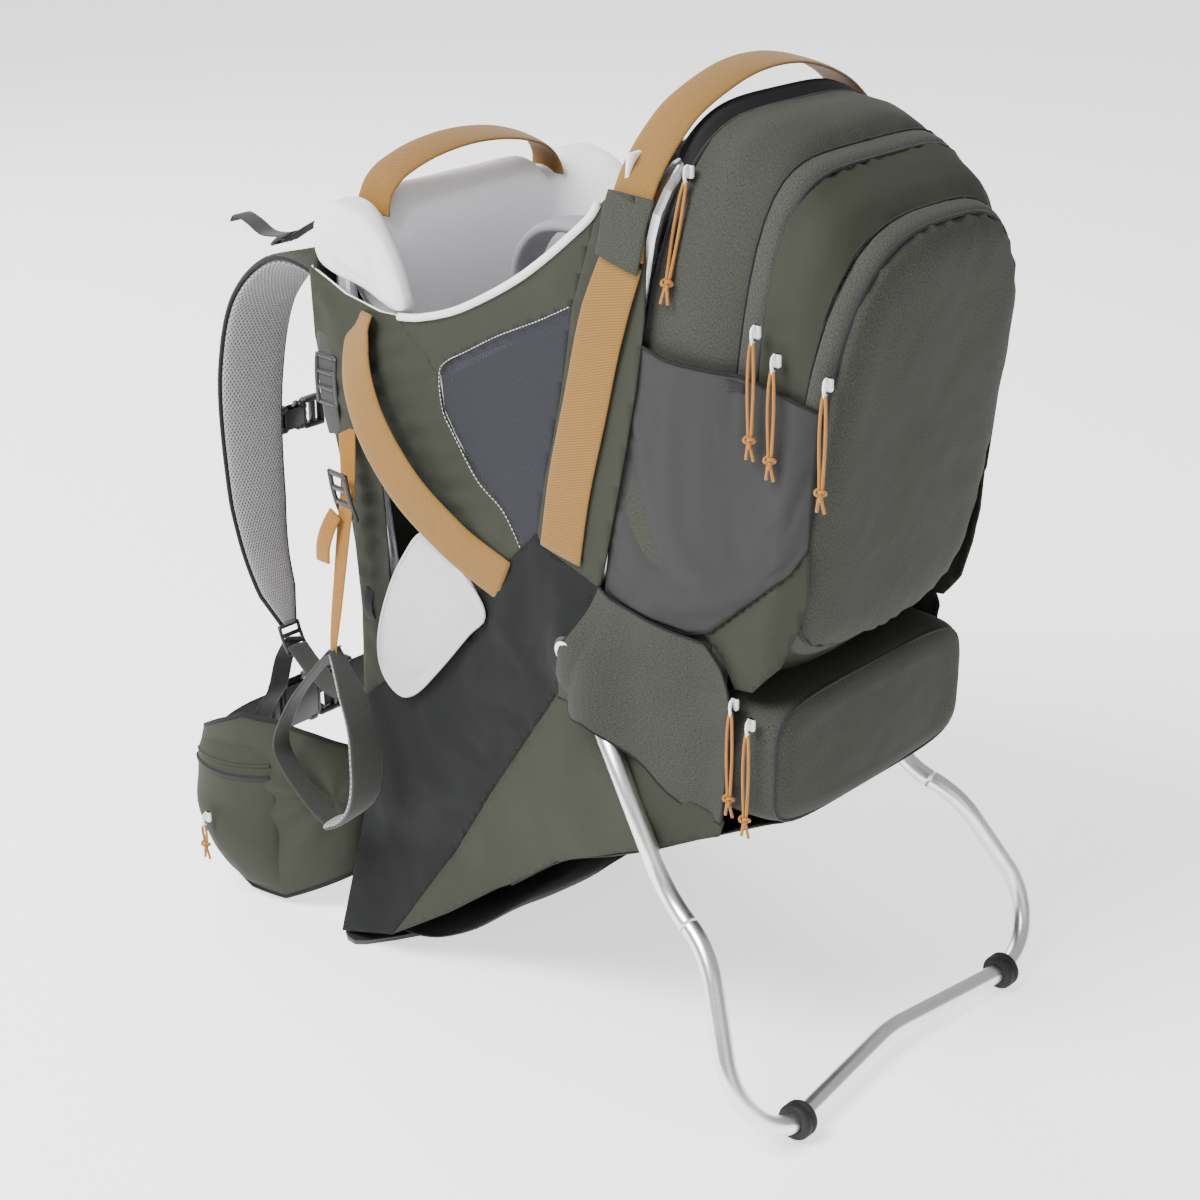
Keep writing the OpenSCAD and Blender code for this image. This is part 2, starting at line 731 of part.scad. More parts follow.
// Webbing hanger with an adjuster, and the padded loop for the child's foot
module stirrup() {
    hanger = spline([[-158, 14, 446], [-170, 16, 400], [-182, 18, 340], [-190, 20, 290]], 2);
    loop_half = [[-190, 20, 288], [-192, 66, 248], [-192, 98, 196], [-192, 90, 144],
                 [-192, 52, 118]];
    loop_rest = [[-192, 52, 118], [-192, 12, 146], [-192, -4, 196], [-192, 2, 250],
                 [-190, 20, 288]];
    ribbon(hanger, [0, 1, 0], 16, 2);
    ribbon(spline(concat(loop_half, [for (i = [1:4]) loop_rest[i]]), 3), [1, 0, 0], 15, 3);
}

module stirrup_left() {
    color([0.72, 0.5, 0.16]) stirrup();
}

module stirrup_right() {
    color([0.72, 0.5, 0.16]) mirror([1, 0, 0]) stirrup();
}

frame_hoop();
rear_hoop();
side_struts();
cross_bars();
hinge_hubs();
hinge_rivets();
kickstand_tube();
kickstand_rings();
kickstand_end_plugs();
foot_sole();
bottom_pan();
side_wall_left();
side_wall_right();
mesh_windows();
leg_skirts();
back_panel();
drool_pad();
back_pads();
lumbar_pad();
cockpit_rear_wall();
cockpit_rim_trim();
harness_yoke();
shoulder_strap_left();
shoulder_strap_right();
load_lifters();
strap_tails();
strap_adjusters();
sternum_webbing();
sternum_buckle_female();
sternum_buckle_male();
hip_wing_left();
hip_wing_right();
hip_webbing();
hip_buckle_female();
hip_buckle_male();
seat_shell();
seat_thigh_wings();
child_harness();
harness_buckle();
harness_release_button();
pack_main();
mid_pocket();
front_pocket();
lower_pocket();
side_pockets();
zip_sliders();
pull_main();
pull_mid_upper();
pull_mid_lower();
pull_front();
pull_lower_upper();
pull_lower_lower();
pull_hip_left();
pull_hip_right();
front_handle();
rear_handle();
side_straps();
stirrup_left();
stirrup_right();
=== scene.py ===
"""Looks for the framed child carrier: cloth, padding, webbing and fittings around the CAD frame."""
import math
import random

import bmesh
import bpy
import numpy as np
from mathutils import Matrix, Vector, noise


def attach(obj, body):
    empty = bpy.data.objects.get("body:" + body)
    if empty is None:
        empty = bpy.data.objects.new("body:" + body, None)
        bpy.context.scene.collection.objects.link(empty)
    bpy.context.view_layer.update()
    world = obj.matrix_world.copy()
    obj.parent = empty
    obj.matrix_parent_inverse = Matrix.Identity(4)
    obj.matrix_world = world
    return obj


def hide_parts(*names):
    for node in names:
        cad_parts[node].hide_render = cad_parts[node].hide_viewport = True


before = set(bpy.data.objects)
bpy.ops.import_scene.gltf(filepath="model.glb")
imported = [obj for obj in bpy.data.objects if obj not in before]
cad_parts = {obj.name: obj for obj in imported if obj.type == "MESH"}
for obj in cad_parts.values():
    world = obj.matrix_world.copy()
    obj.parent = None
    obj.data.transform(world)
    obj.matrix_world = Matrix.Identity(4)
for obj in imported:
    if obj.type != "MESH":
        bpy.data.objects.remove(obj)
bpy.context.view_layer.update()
random.seed(7)
MM = 0.001
LEFT, RIGHT = -1, 1
SIDES = ((LEFT, "left"), (RIGHT, "right"))
CLOTH_THICK = 1.6


# ---- Points and paths (millimetres) ---------------------------------------

def arr(points):
    return np.array(points, float)


def smooth(points, per=6, closed=False):
    """A Catmull-Rom curve through the points, with per spans between two."""
    p = arr(points)
    n = len(p)
    last = n if closed else n - 1
    out = []
    for i in range(last):
        if closed:
            a, b, c, d = p[i - 1], p[i], p[(i + 1) % n], p[(i + 2) % n]
        else:
            a, b, c, d = p[max(i - 1, 0)], p[i], p[i + 1], p[min(i + 2, n - 1)]
        for k in range(per):
            t = k / per
            out.append(0.5 * (2 * b + (c - a) * t + (2 * a - 5 * b + 4 * c - d) * t * t
                              + (3 * b - a - 3 * c + d) * t ** 3))
    if not closed:
        out.append(p[-1])
    return arr(out)


def resample(path, count, closed=False):
    """The path again with count points at even distances."""
    p = np.vstack([path, path[:1]]) if closed else arr(path)
    s = np.r_[0, np.cumsum(np.linalg.norm(np.diff(p, axis=0), axis=1))]
    t = np.linspace(0, s[-1], count, endpoint=not closed)
    return np.stack([np.interp(t, s, p[:, k]) for k in range(p.shape[1])], -1)


def length_of(path):
    return float(np.linalg.norm(np.diff(path, axis=0), axis=1).sum())


def mirror(points):
    return arr(points) * arr([-1, 1, 1])


def sided(points, side):
    """Points given for the left side, or their mirror image on the right."""
    return arr(points) if side == LEFT else mirror(points)


def unit(v):
    n = np.linalg.norm(v, axis=-1, keepdims=True)
    return v / np.maximum(n, 1e-9)


def ramp(x, a, b):
    t = np.clip((x - a) / (b - a), 0, 1)
    return t * t * (3 - 2 * t)


def rough(p, size, seed=0.0):
    """Smooth noise from -1 to 1 at a point in millimetres."""
    return noise.noise(Vector((p[0] / size + seed, p[1] / size - seed, p[2] / size + 3 * seed)))


# ---- Materials ------------------------------------------------------------

class Paint:
    """A material and its node tree, with the nodes this script needs often."""

    def __init__(self, name, roughness, metallic=0.0, sheen=0.0, specular=0.4):
        self.mat = bpy.data.materials.new(name)
        self.mat.use_nodes = True
        self.tree = self.mat.node_tree
        self.bsdf = self.tree.nodes["Principled BSDF"]
        self.bsdf.inputs["Roughness"].default_value = roughness
        self.bsdf.inputs["Metallic"].default_value = metallic
        self.bsdf.inputs["Specular IOR Level"].default_value = specular
        self.bsdf.inputs["Sheen Weight"].default_value = sheen
        self.bsdf.inputs["Sheen Roughness"].default_value = 0.5
        self.where = self.node("ShaderNodeTexCoord")

    def node(self, kind, **values):
        n = self.tree.nodes.new(kind)
        for key, value in values.items():
            setattr(n, key, value)
        return n

    def link(self, a, b):
        self.tree.links.new(a, b)

    def spot(self, scale, turn=0.0, source="UV"):
        """Coordinates in metres, scaled: UV on cloth, Object elsewhere."""
        m = self.node("ShaderNodeMapping")
        m.inputs["Scale"].default_value = scale
        m.inputs["Rotation"].default_value = (0, 0, turn)
        self.link(self.where.outputs[source], m.inputs["Vector"])
        return m.outputs["Vector"]

    def noise(self, vector, detail=2.0, roughness=0.5):
        n = self.node("ShaderNodeTexNoise")
        n.inputs["Scale"].default_value = 1.0
        n.inputs["Detail"].default_value = detail
        n.inputs["Roughness"].default_value = roughness
        self.link(vector, n.inputs["Vector"])
        return n.outputs["Fac"]

    def wave(self, vector, distortion=0.0, axis="X"):
        n = self.node("ShaderNodeTexWave", bands_direction=axis)
        n.inputs["Scale"].default_value = 1.0
        n.inputs["Distortion"].default_value = distortion
        self.link(vector, n.inputs["Vector"])
        return n.outputs["Fac"]

    def math(self, operation, *values):
        n = self.node("ShaderNodeMath", operation=operation)
        for socket, value in zip(n.inputs, values):
            if isinstance(value, (int, float)):
                socket.default_value = value
            else:
                self.link(value, socket)
        return n.outputs[0]

    def both(self, a, b, share=0.5):
        """Two patterns in one: a counts for share of it, and b for the rest."""
        return self.math("MULTIPLY_ADD", a, share, self.math("MULTIPLY", b, 1 - share))

    def tones(self, fac, stops):
        """A colour ramp from (place, colour) stops."""
        n = self.node("ShaderNodeValToRGB")
        ramp_ = n.color_ramp
        while len(ramp_.elements) < len(stops):
            ramp_.elements.new(0.5)
        for e, (place, colour) in zip(ramp_.elements, stops):
            e.position = place
            e.color = (*colour, 1)
        self.link(fac, n.inputs["Fac"])
        return n.outputs["Color"]

    def mix(self, fac, a, b, blend="MIX"):
        n = self.node("ShaderNodeMix", data_type="RGBA", blend_type=blend)
        sockets = [s for s in n.inputs if s.type == "RGBA"]
        for slot, value in ((n.inputs["Factor"], fac), (sockets[0], a), (sockets[1], b)):
            if isinstance(value, (int, float)):
                slot.default_value = value
            elif isinstance(value, tuple):
                slot.default_value = (*value, 1)
            else:
                self.link(value, slot)
        return next(s for s in n.outputs if s.type == "RGBA")

    def colour(self, value):
        self.link(value, self.bsdf.inputs["Base Color"])

    def bump(self, height, depth, strength=0.6):
        n = self.node("ShaderNodeBump")
        n.inputs["Strength"].default_value = strength
        n.inputs["Distance"].default_value = depth
        self.link(height, n.inputs["Height"])
        self.link(n.outputs["Normal"], self.bsdf.inputs["Normal"])

    def worn(self, colour, amount=0.16, size=18.0):
        """Slow change of tone across the cloth, as light wear and handling leave."""
        patch = self.noise(self.spot((size, size, size), source="Object"), 3)
        light = self.math("MULTIPLY_ADD", patch, amount, 1 - amount / 2)
        return self.mix(1.0, colour, light, "MULTIPLY")


WAVE = 1 / 3.183        # a Wave texture's bands repeat every 0.314 units


def shade(colour, k):
    return tuple(min(1.0, c * k) for c in colour)


def woven(name, colour, pitch=0.9, contrast=0.25, roughness=0.75, sheen=0.1, depth=0.15,
          grid=0.0, specular=0.12):
    """Plain woven cloth: crossed threads of the given pitch, and a ripstop grid."""
    p = Paint(name, roughness, sheen=sheen, specular=specular)
    k = WAVE / (pitch * MM)
    threads = p.math("MAXIMUM", p.wave(p.spot((k, k, 1)), 0.3), p.wave(p.spot((k, k, 1)), 0.3, "Y"))
    weave = p.both(threads, p.noise(p.spot((900, 900, 900)), 2))
    tone = p.tones(weave, [(0.25, shade(colour, 1 - contrast)), (0.75, shade(colour, 1 + contrast))])
    p.colour(p.worn(tone))
    height = weave
    if grid:
        g = WAVE / (grid * MM)
        lines = p.math("MAXIMUM", p.wave(p.spot((g, g, 1))), p.wave(p.spot((g, g, 1)), axis="Y"))
        height = p.math("ADD", weave, p.math("MULTIPLY", p.math("POWER", lines, 12.0), 0.8))
    p.bump(height, depth * MM)
    return p.mat


def heathered(name, dark, light, roughness=0.8):
    """Two-tone melange cloth: short pale flecks along the weft on a darker ground."""
    p = Paint(name, roughness, sheen=0.03, specular=0.1)
    flecks = p.both(p.noise(p.spot((520, 1700, 1)), 3, 0.65), p.noise(p.spot((1900, 700, 1)), 2, 0.6), 0.65)
    half = tuple((a + b) / 2 for a, b in zip(dark, light))
    p.colour(p.worn(p.tones(flecks, [(0.36, dark), (0.5, half), (0.66, light)]), 0.14))
    p.bump(flecks, 0.12 * MM, 0.4)
    return p.mat


def webbing(name, colour, pitch=2.3, slant=0.6, depth=0.35, roughness=0.7):
    """Woven strap: slanting ribs across it; UV x runs across the strap and y along it."""
    p = Paint(name, roughness, sheen=0.15, specular=0.3)
    k = 2 * WAVE / (pitch * MM)
    ribs = p.both(p.wave(p.spot((k * slant, k, 1)), 0.25, "DIAGONAL"),
                  p.noise(p.spot((1500, 700, 1)), 2, 0.6), 0.6)
    p.colour(p.worn(p.tones(ribs, [(0.2, shade(colour, 0.72)), (0.55, colour),
                                   (0.85, shade(colour, 1.18))]), 0.12))
    p.bump(ribs, depth * MM, 0.7)
    return p.mat


def fleecy(name, colour):
    p = Paint(name, 0.9, sheen=0.35, specular=0.2)
    pile = p.noise(p.spot((650, 650, 650), source="Object"), 4, 0.7)
    tone = p.tones(pile, [(0.3, shade(colour, 0.93)), (0.7, shade(colour, 1.04))])
    p.colour(p.worn(tone, 0.06, 9.0))
    p.bump(pile, 0.35 * MM, 0.35)
    return p.mat


def spacer(name, colour):
    """Spacer mesh: rows of small oval holes in a knitted face."""
    p = Paint(name, 0.85, sheen=0.15, specular=0.25)
    k = 2 * WAVE / (3.4 * MM)
    rising = p.wave(p.spot((k, k * 0.62, 1)), 0.0, "DIAGONAL")
    falling = p.wave(p.spot((-k, k * 0.62, 1)), 0.0, "DIAGONAL")
    knit = p.math("MULTIPLY", rising, falling)
    tone = p.tones(knit, [(0.02, shade(colour, 1.3)), (0.3, colour), (0.75, shade(colour, 0.45))])
    p.colour(p.worn(tone, 0.1))
    p.bump(p.math("SUBTRACT", 1.0, knit), 0.8 * MM, 0.8)
    return p.mat


def netting(name, colour, pitch=2.0, open_share=0.42):
    """Open mesh: the holes let the inside show through."""
    p = Paint(name, 0.7, specular=0.3)
    k = WAVE / (pitch * MM)
    holes = p.math("MINIMUM", p.wave(p.spot((k, k, 1))), p.wave(p.spot((k, k, 1)), axis="Y"))
    solid = p.math("LESS_THAN", holes, open_share)
    fine = p.noise(p.spot((700, 700, 1)), 2)
    p.colour(p.tones(fine, [(0.3, shade(colour, 0.7)), (0.7, shade(colour, 1.4))]))
    clear = p.node("ShaderNodeBsdfTransparent")
    blend = p.node("ShaderNodeMixShader")
    p.link(solid, blend.inputs[0])
    p.link(clear.outputs[0], blend.inputs[1])
    p.link(p.bsdf.outputs[0], blend.inputs[2])
    p.link(blend.outputs[0], p.tree.nodes["Material Output"].inputs["Surface"])
    return p.mat


def moulded(name, colour, roughness=0.42, grain=0.04, specular=0.45):
    p = Paint(name, roughness, specular=specular)
    slow = p.noise(p.spot((60, 60, 60), source="Object"), 2)
    p.colour(p.tones(slow, [(0.3, shade(colour, 0.8)), (0.7, shade(colour, 1.25))]))
    p.link(p.math("MULTIPLY_ADD", slow, 0.16, roughness - 0.08), p.bsdf.inputs["Roughness"])
    p.bump(p.noise(p.spot((1600, 1600, 1600), source="Object"), 3), grain * MM, 0.5)
    return p.mat


def metal(name, colour, roughness=0.3, grain=(90, 90, 1400)):
    """Drawn metal: fine scratches along the tube and a slow change of polish."""
    p = Paint(name, roughness, metallic=1.0)
    lines = p.noise(p.spot(grain, source="Object"), 4, 0.6)
    p.colour(p.tones(lines, [(0.3, shade(colour, 0.9)), (0.7, shade(colour, 1.05))]))
    slow = p.noise(p.spot((30, 30, 30), source="Object"), 3)
    p.link(p.math("MULTIPLY_ADD", slow, 0.14, roughness - 0.07), p.bsdf.inputs["Roughness"])
    p.bump(lines, 0.03 * MM, 0.3)
    return p.mat


OLIVE = woven("olive_ripstop", (0.029, 0.031, 0.0225), 0.8, 0.12, 0.7, 0.02, 0.08, grid=4.0)
# Painted shade: a near-black cloth colour for the low side panel, standing in for the shade that falls over
# its folds.
SHADE_PAINTED_CLOTH = woven("dark_panel", (0.0095, 0.0098, 0.01), 0.7, 0.14, 0.7, 0.02, 0.07)
DARKER = woven("dark_top", (0.011, 0.0115, 0.0115), 0.7, 0.14, 0.7, 0.02, 0.07)
POCKET = woven("side_pocket", (0.032, 0.0325, 0.032), 0.7, 0.1, 0.7, 0.02, 0.06)
HEATHER = heathered("heather", (0.016, 0.017, 0.0135), (0.062, 0.065, 0.055))
HEATHER_DARK = heathered("heather_band", (0.02, 0.0215, 0.0175), (0.075, 0.078, 0.068))
BLACK_CLOTH = woven("black_fabric", (0.018, 0.018, 0.02), 1.0, 0.3, 0.8, 0.1, 0.15)
FLEECE = fleecy("fleece", (0.8, 0.8, 0.83))
WING = woven("wing_cloth", (0.52, 0.52, 0.55), 0.7, 0.06, 0.7, 0.2, 0.06)
TRIM = woven("rim_binding", (0.74, 0.74, 0.77), 0.9, 0.08, 0.7, 0.1, 0.1)
MESH_PAD = spacer("spacer_mesh", (0.22, 0.21, 0.22))
NET = netting("window_mesh", (0.018, 0.018, 0.024), 1.6, 0.66)
PATCH = woven("window_patch", (0.2, 0.2, 0.22), 2.6, 0.5, 0.8, 0.1, 0.3)
TAN = webbing("tan_webbing", (0.2, 0.098, 0.012))
OCHRE = webbing("ochre_webbing", (0.24, 0.1, 0.004), 1.6, 0.0, 0.2)
GREY_WEB = webbing("grey_webbing", (0.026, 0.027, 0.024), 1.5, 0.0, 0.2)
BLACK_WEB = webbing("black_webbing", (0.022, 0.022, 0.024), 1.6, 0.0, 0.2)
HARNESS = woven("harness_grey", (0.2, 0.2, 0.215), 1.0, 0.2, 0.8, 0.1, 0.12)
CORD = webbing("cord", (0.34, 0.14, 0.02), 1.2, 1.0, 0.25)
THREAD_PALE = moulded("thread_pale", (0.55, 0.55, 0.56), 0.7)
PLASTIC = moulded("plastic_black", (0.022, 0.022, 0.024))
RUBBER = moulded("rubber_black", (0.018, 0.018, 0.019), 0.68, 0.12, 0.25)
RED = moulded("button_red", (0.5, 0.035, 0.02), 0.35)
SLIDER = moulded("slider_enamel", (0.72, 0.72, 0.74), 0.3)
TUBE = metal("tube", (0.83, 0.84, 0.86), 0.3)
RIVET = metal("rivet", (0.7, 0.7, 0.72), 0.35)


# ---- Meshes ---------------------------------------------------------------


def piece(name, shell, mat, side=LEFT, body="root", nodes=()):
    """An object from the left side's shell: points in millimetres, faces, a UV pair for each face corner."""
    verts, faces, uvs = on_side(shell, side)
    me = bpy.data.meshes.new(name)
    me.from_pydata((arr(verts) * MM).tolist(), [], [list(map(int, f)) for f in faces])
    me.uv_layers.new(name="UVMap").data.foreach_set("uv", (arr(uvs) * MM).ravel())
    me.polygons.foreach_set("use_smooth", [True] * len(me.polygons))
    me.materials.append(mat)
    o = bpy.data.objects.new(name, me)
    bpy.context.scene.collection.objects.link(o)
    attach(o, body)
    if nodes:
        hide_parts(*nodes)
    return o


def grid(rows, wrap=False, caps=False):
    """A shell over rows of points; wrap closes each row, caps closes both ends."""
    rows = arr(rows)
    r, c = rows.shape[:2]
    ring = np.concatenate([rows, rows[:, :1]], 1) if wrap else rows
    u = np.r_[0, np.cumsum(np.median(np.linalg.norm(np.diff(ring, axis=1), axis=2), axis=0))]
    v = np.r_[0, np.cumsum(np.median(np.linalg.norm(np.diff(rows, axis=0), axis=2), axis=1))]
    faces, uvs = [], []
    for i in range(r - 1):
        for j in range(c if wrap else c - 1):
            k = (j + 1) % c
            faces.append((i * c + j, i * c + k, (i + 1) * c + k, (i + 1) * c + j))
            uvs += [(u[j], v[i]), (u[j + 1], v[i]), (u[j + 1], v[i + 1]), (u[j], v[i + 1])]
    if caps:
        for i, order in ((0, range(c - 1, -1, -1)), (r - 1, range(c))):
            faces.append([i * c + j for j in order])
            uvs += [(rows[i, j, 0] + rows[i, j, 1], rows[i, j, 2]) for j in order]
    return rows.reshape(-1, 3), faces, uvs


def joined(*shells):
    """Several shells as one."""
    verts, faces, uvs, n = [], [], [], 0
    for v, f, t in shells:
        verts.append(arr(v))
        faces += [[i + n for i in face] for face in f]
        uvs += list(t)
        n += len(v)
    return np.vstack(verts), faces, uvs


def flipped(shell):
    """The mirror image of a shell in the plane x = 0."""
    verts, faces, uvs = shell
    at, out = 0, []
    for f in faces:
        out += uvs[at:at + len(f)][::-1]
        at += len(f)
    return mirror(verts), [f[::-1] for f in faces], out


def on_side(shell, side):
    return shell if side == LEFT else flipped(shell)


def frames(path, across=None):
    """The direction of travel, the direction across and the normal at each point of a path."""
    t = unit(np.gradient(path, axis=0))
    if across is None:
        a = np.zeros_like(t)
        side = unit(np.cross(t[0], arr([0.31, 0.2, 0.93])))
        for i, d in enumerate(t):
            side = unit(side - d * side.dot(d))
            a[i] = side
    else:
        a = np.broadcast_to(arr(across), t.shape)
        a = unit(a - t * (a * t).sum(-1, keepdims=True))
    return t, a, np.cross(a, t)


def strap(path, width, thick, across, sides=16, square=3.5, bow=0.0):
    """A flat strap with rounded edges; width and thick may change along it."""
    path = arr(path)
    w = np.broadcast_to(arr(width), len(path))[:, None, None] / 2
    t = np.broadcast_to(arr(thick), len(path))[:, None, None] / 2
    _, a, n = frames(path, across)
    turn = np.arange(sides) * 2 * math.pi / sides
    c, s = np.cos(turn), np.sin(turn)
    cx = (np.sign(c) * np.abs(c) ** (2 / square))[None, :, None]
    sx = (np.sign(s) * np.abs(s) ** (2 / square))[None, :, None]
    lift = bow * (1 - cx ** 2)
    return grid(path[:, None] + a[:, None] * w * cx + n[:, None] * (t * sx + lift), True, True)


def rod(path, radius, sides=10, closed=False):
    """A round tube along a path; radius may change along it."""
    path = arr(path)
    if closed:
        path = np.vstack([path, path[:1]])
    r = np.broadcast_to(arr(radius), len(path))[:, None, None]
    _, a, n = frames(path)
    turn = (np.arange(sides) * 2 * math.pi / sides)[None, :, None]
    return grid(path[:, None] + r * (a[:, None] * np.cos(turn) + n[:, None] * np.sin(turn)), True, True)


def dashes(path, pitch=3.2, length=2.1, radius=0.32, normal=(1, 0, 0)):
    """Stitches: short rounded threads along a path."""
    path = arr(path)
    total = length_of(path)
    count = max(int(total / pitch), 1)
    fine = resample(path, count * 4 + 1)
    shells = []
    for i in range(count):
        a, b = fine[i * 4], fine[i * 4] + (fine[i * 4 + 3] - fine[i * 4]) * (length / pitch / 0.75)
        mid = (a + b) / 2 + unit(arr(normal)) * radius
        shells.append(rod([a, mid, b], [radius * 0.6, radius, radius * 0.6], 5))
    return joined(*shells)


def block(centre, size, turn=None, edge=1.0):
    """A box with rounded edges, as rows of a rounded outline."""
    x, y, z = arr(size) / 2
    e = min(edge, x, y, z)
    rows = []
    for level, inset in ((-z, e), (-z + e * 0.3, e * 0.3), (-z + e, 0), (z - e, 0),
                         (z - e * 0.3, e * 0.3), (z, e)):
        ring = []
        for cx, cy, start in ((1, 1, 0), (-1, 1, 90), (-1, -1, 180), (1, -1, 270)):
            for k in range(3):
                angle = math.radians(start + 45 * k)
                ring.append(((x - inset - e) * cx + e * math.cos(angle),
                             (y - inset - e) * cy + e * math.sin(angle), level))
        rows.append(ring)
    rows = arr(rows)
    if turn is not None:
        rows = rows @ arr(turn).T
    return grid(rows + arr(centre), True, True)


def cut_panel(outline, cell):
    """A flat outline in two coordinates, cut into square cells: points and faces."""
    bm = bmesh.new()
    bm.faces.new([bm.verts.new((a, b, 0)) for a, b in outline])
    for k in range(2):
        values = arr(outline)[:, k]
        for t in np.arange(values.min() + cell / 2, values.max(), cell):
            spot, way = [0, 0, 0], [0, 0, 0]
            spot[k], way[k] = t, 1
            bmesh.ops.bisect_plane(bm, geom=bm.verts[:] + bm.edges[:] + bm.faces[:],
                                   plane_co=spot, plane_no=way)
    bmesh.ops.triangulate(bm, faces=[f for f in bm.faces if len(f.verts) > 4])
    bm.verts.index_update()
    points = arr([v.co[:2] for v in bm.verts])
    faces = [[v.index for v in f.verts] for f in bm.faces]
    bm.free()
    return points, faces


def edge_distance(points, outline):
    """How far each point is from the outline."""
    a = arr(outline)
    b = np.roll(a, -1, axis=0)
    d = b - a
    t = ((points[:, None] - a) * d).sum(-1) / np.maximum((d * d).sum(-1), 1e-9)
    near = a + np.clip(t, 0, 1)[..., None] * d
    return np.linalg.norm(points[:, None] - near, axis=-1).min(1)


def thicken(o, thick, offset=0.0):
    m = o.modifiers.new("cloth thickness", "SOLIDIFY")
    m.thickness = thick * MM
    m.offset = offset
    return o


SIM_FRAMES = 16
PANEL_SLACK, POCKET_SLACK = 0.006, 0.008    # extra cloth, as a share of a panel's length
PUFF_PRESSURE = 0.4
PIN_BAND = 4        # cloth nearer to a seam than this is held


def settle(o, pinned, slack, pressure):
    """Lets the cloth solver find a panel's folds, with its seams held, and keeps the mesh it ends with."""
    o.vertex_groups.new(name="seams").add([int(i) for i in pinned], 1.0, "REPLACE")
    m = o.modifiers.new("cloth", "CLOTH")
    m.settings.vertex_group_mass = "seams"
    m.settings.quality = 8
    m.settings.mass = 0.06
    m.settings.tension_stiffness = m.settings.compression_stiffness = 18
    m.settings.shear_stiffness = 8
    m.settings.bending_stiffness = 0.6
    m.settings.air_damping = 6
    m.settings.shrink_min = -slack
    m.settings.use_pressure = True
    m.settings.uniform_pressure_force = pressure
    m.collision_settings.use_collision = False
    m.point_cache.frame_start, m.point_cache.frame_end = 1, SIM_FRAMES
    for frame_number in range(1, SIM_FRAMES + 1):
        bpy.context.scene.frame_set(frame_number)
    done = o.evaluated_get(bpy.context.evaluated_depsgraph_get())
    at = np.empty(3 * len(o.data.vertices))
    done.data.vertices.foreach_get("co", at)
    o.modifiers.remove(m)
    o.data.vertices.foreach_set("co", at)
    o.data.update()
    bpy.context.scene.frame_set(1)


def declare_sheet(o):
    """Works out what size a cloth piece was cut to, from its own mesh: its two longest spans and its area;
    nothing keeps the result.
    """
    pts = arr([v.co for v in o.data.vertices])
    turned = (pts - pts.mean(0)) @ np.linalg.svd(pts - pts.mean(0), full_matrices=False)[2].T
    length, width = np.ptp(turned, axis=0)[:2]
    area = sum(f.area for f in o.data.polygons)
    if area < 0.32 * width * length:
        count = {}
        for f in o.data.polygons:
            for key in f.edge_keys:
                count[key] = count.get(key, 0) + 1
        rim = sum(np.linalg.norm(pts[a] - pts[b]) for (a, b), n in count.items() if n == 1)
        length = rim / 2
        width = area / length
    width = max(width, area / length)


def loft_rows(rings, per=4):
    """Rings of equal count, with smooth rings between them."""
    rings = arr(rings)
    r, c = rings.shape[:2]
    flat = rings.reshape(r, -1)
    fine = smooth(flat, per)
    return fine.reshape(len(fine), c, 3)


# ---- Frame, kickstand and other hard parts --------------------------------

def bent(corners, radii, per=12):
    """A route through corners, each rounded to its radius."""
    p = arr(corners)
    out = [p[0]]
    for k, r in enumerate(radii, 1):
        a, b = unit(p[k - 1] - p[k]), unit(p[k + 1] - p[k])
        half = math.acos(float(np.clip(a.dot(b), -1, 1))) / 2
        centre = p[k] + unit(a + b) * r / math.sin(half)
        first, last = p[k] + a * r / math.tan(half), p[k] + b * r / math.tan(half)
        u, v = unit(first - centre), last - centre
        w = unit(v - u * u.dot(v))
        sweep = math.pi - 2 * half
        out += [centre + r * (u * math.cos(t) + w * math.sin(t))
                for t in np.linspace(0, sweep, per)]
    out.append(p[-1])
    return arr(out)


PIVOT = (-223, 356)
HALF_LEG = [(160, *PIVOT), (155, -318, 169), (169, -371, 150), (222, -451, 11.5), (0, -427, 20)]
LEG = HALF_LEG + [tuple(v) for v in mirror(HALF_LEG[:-1])[::-1]]
leg_path = bent(LEG, [78, 78, 57, 150, 57, 78, 78], 18)
away = unit(leg_path[1] - leg_path[0]) * 12.5
leg_path[0] += away
leg_path[-1] += away * [-1, 1, 1]
piece("kickstand_tube_smooth", rod(leg_path, 8, 40), TUBE, body="kickstand", nodes=["kickstand_tube"])


def paint(names, mat):
    """A CAD node keeps its shape and takes this material."""
    for n in names:
        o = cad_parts[n]
        o.data.materials.clear()
        o.data.materials.append(mat)


paint(["frame_hoop", "rear_hoop", "side_struts", "cross_bars"], TUBE)
paint(["kickstand_end_plugs", "foot_sole", "hinge_hubs", "harness_buckle"], PLASTIC)
paint(["hinge_rivets"], RIVET)
paint(["harness_release_button"], RED)

# Rubber rings on the crossbar, with a rounded rim and a groove
RING_X = 143
mid_bar = leg_path[np.abs(leg_path[:, 0]) < 175]


def ring_rows(x):
    i = int(np.argmin(np.abs(mid_bar[:, 0] - x)))
    near = arr([np.interp(x, mid_bar[::-1, 0], mid_bar[::-1, k]) for k in range(3)])
    way = unit(mid_bar[max(i - 1, 0)] - mid_bar[min(i + 1, len(mid_bar) - 1)])
    side = unit(np.cross(way, arr([0, 0, 1])))
    up = np.cross(side, way)
    rows = []
    for s, r in ((-7.5, 8.2), (-7.5, 12.2), (-6.6, 14.0), (-5, 14.8), (-2, 15), (-1.4, 14.2), (1.4, 14.2),
                 (2, 15), (5, 14.8), (6.6, 14.0), (7.5, 12.2), (7.5, 8.2)):
        rows.append([near + way * s + r * (side * math.cos(a) + up * math.sin(a))
                     for a in np.arange(32) * math.pi / 16])
    return grid(rows, wrap=True)


piece("kickstand_rings_turned", joined(ring_rows(-RING_X), ring_rows(RING_X)), RUBBER, body="kickstand",
      nodes=["kickstand_rings"])


# ---- Side walls: sewn cloth panels ----------------------------------------

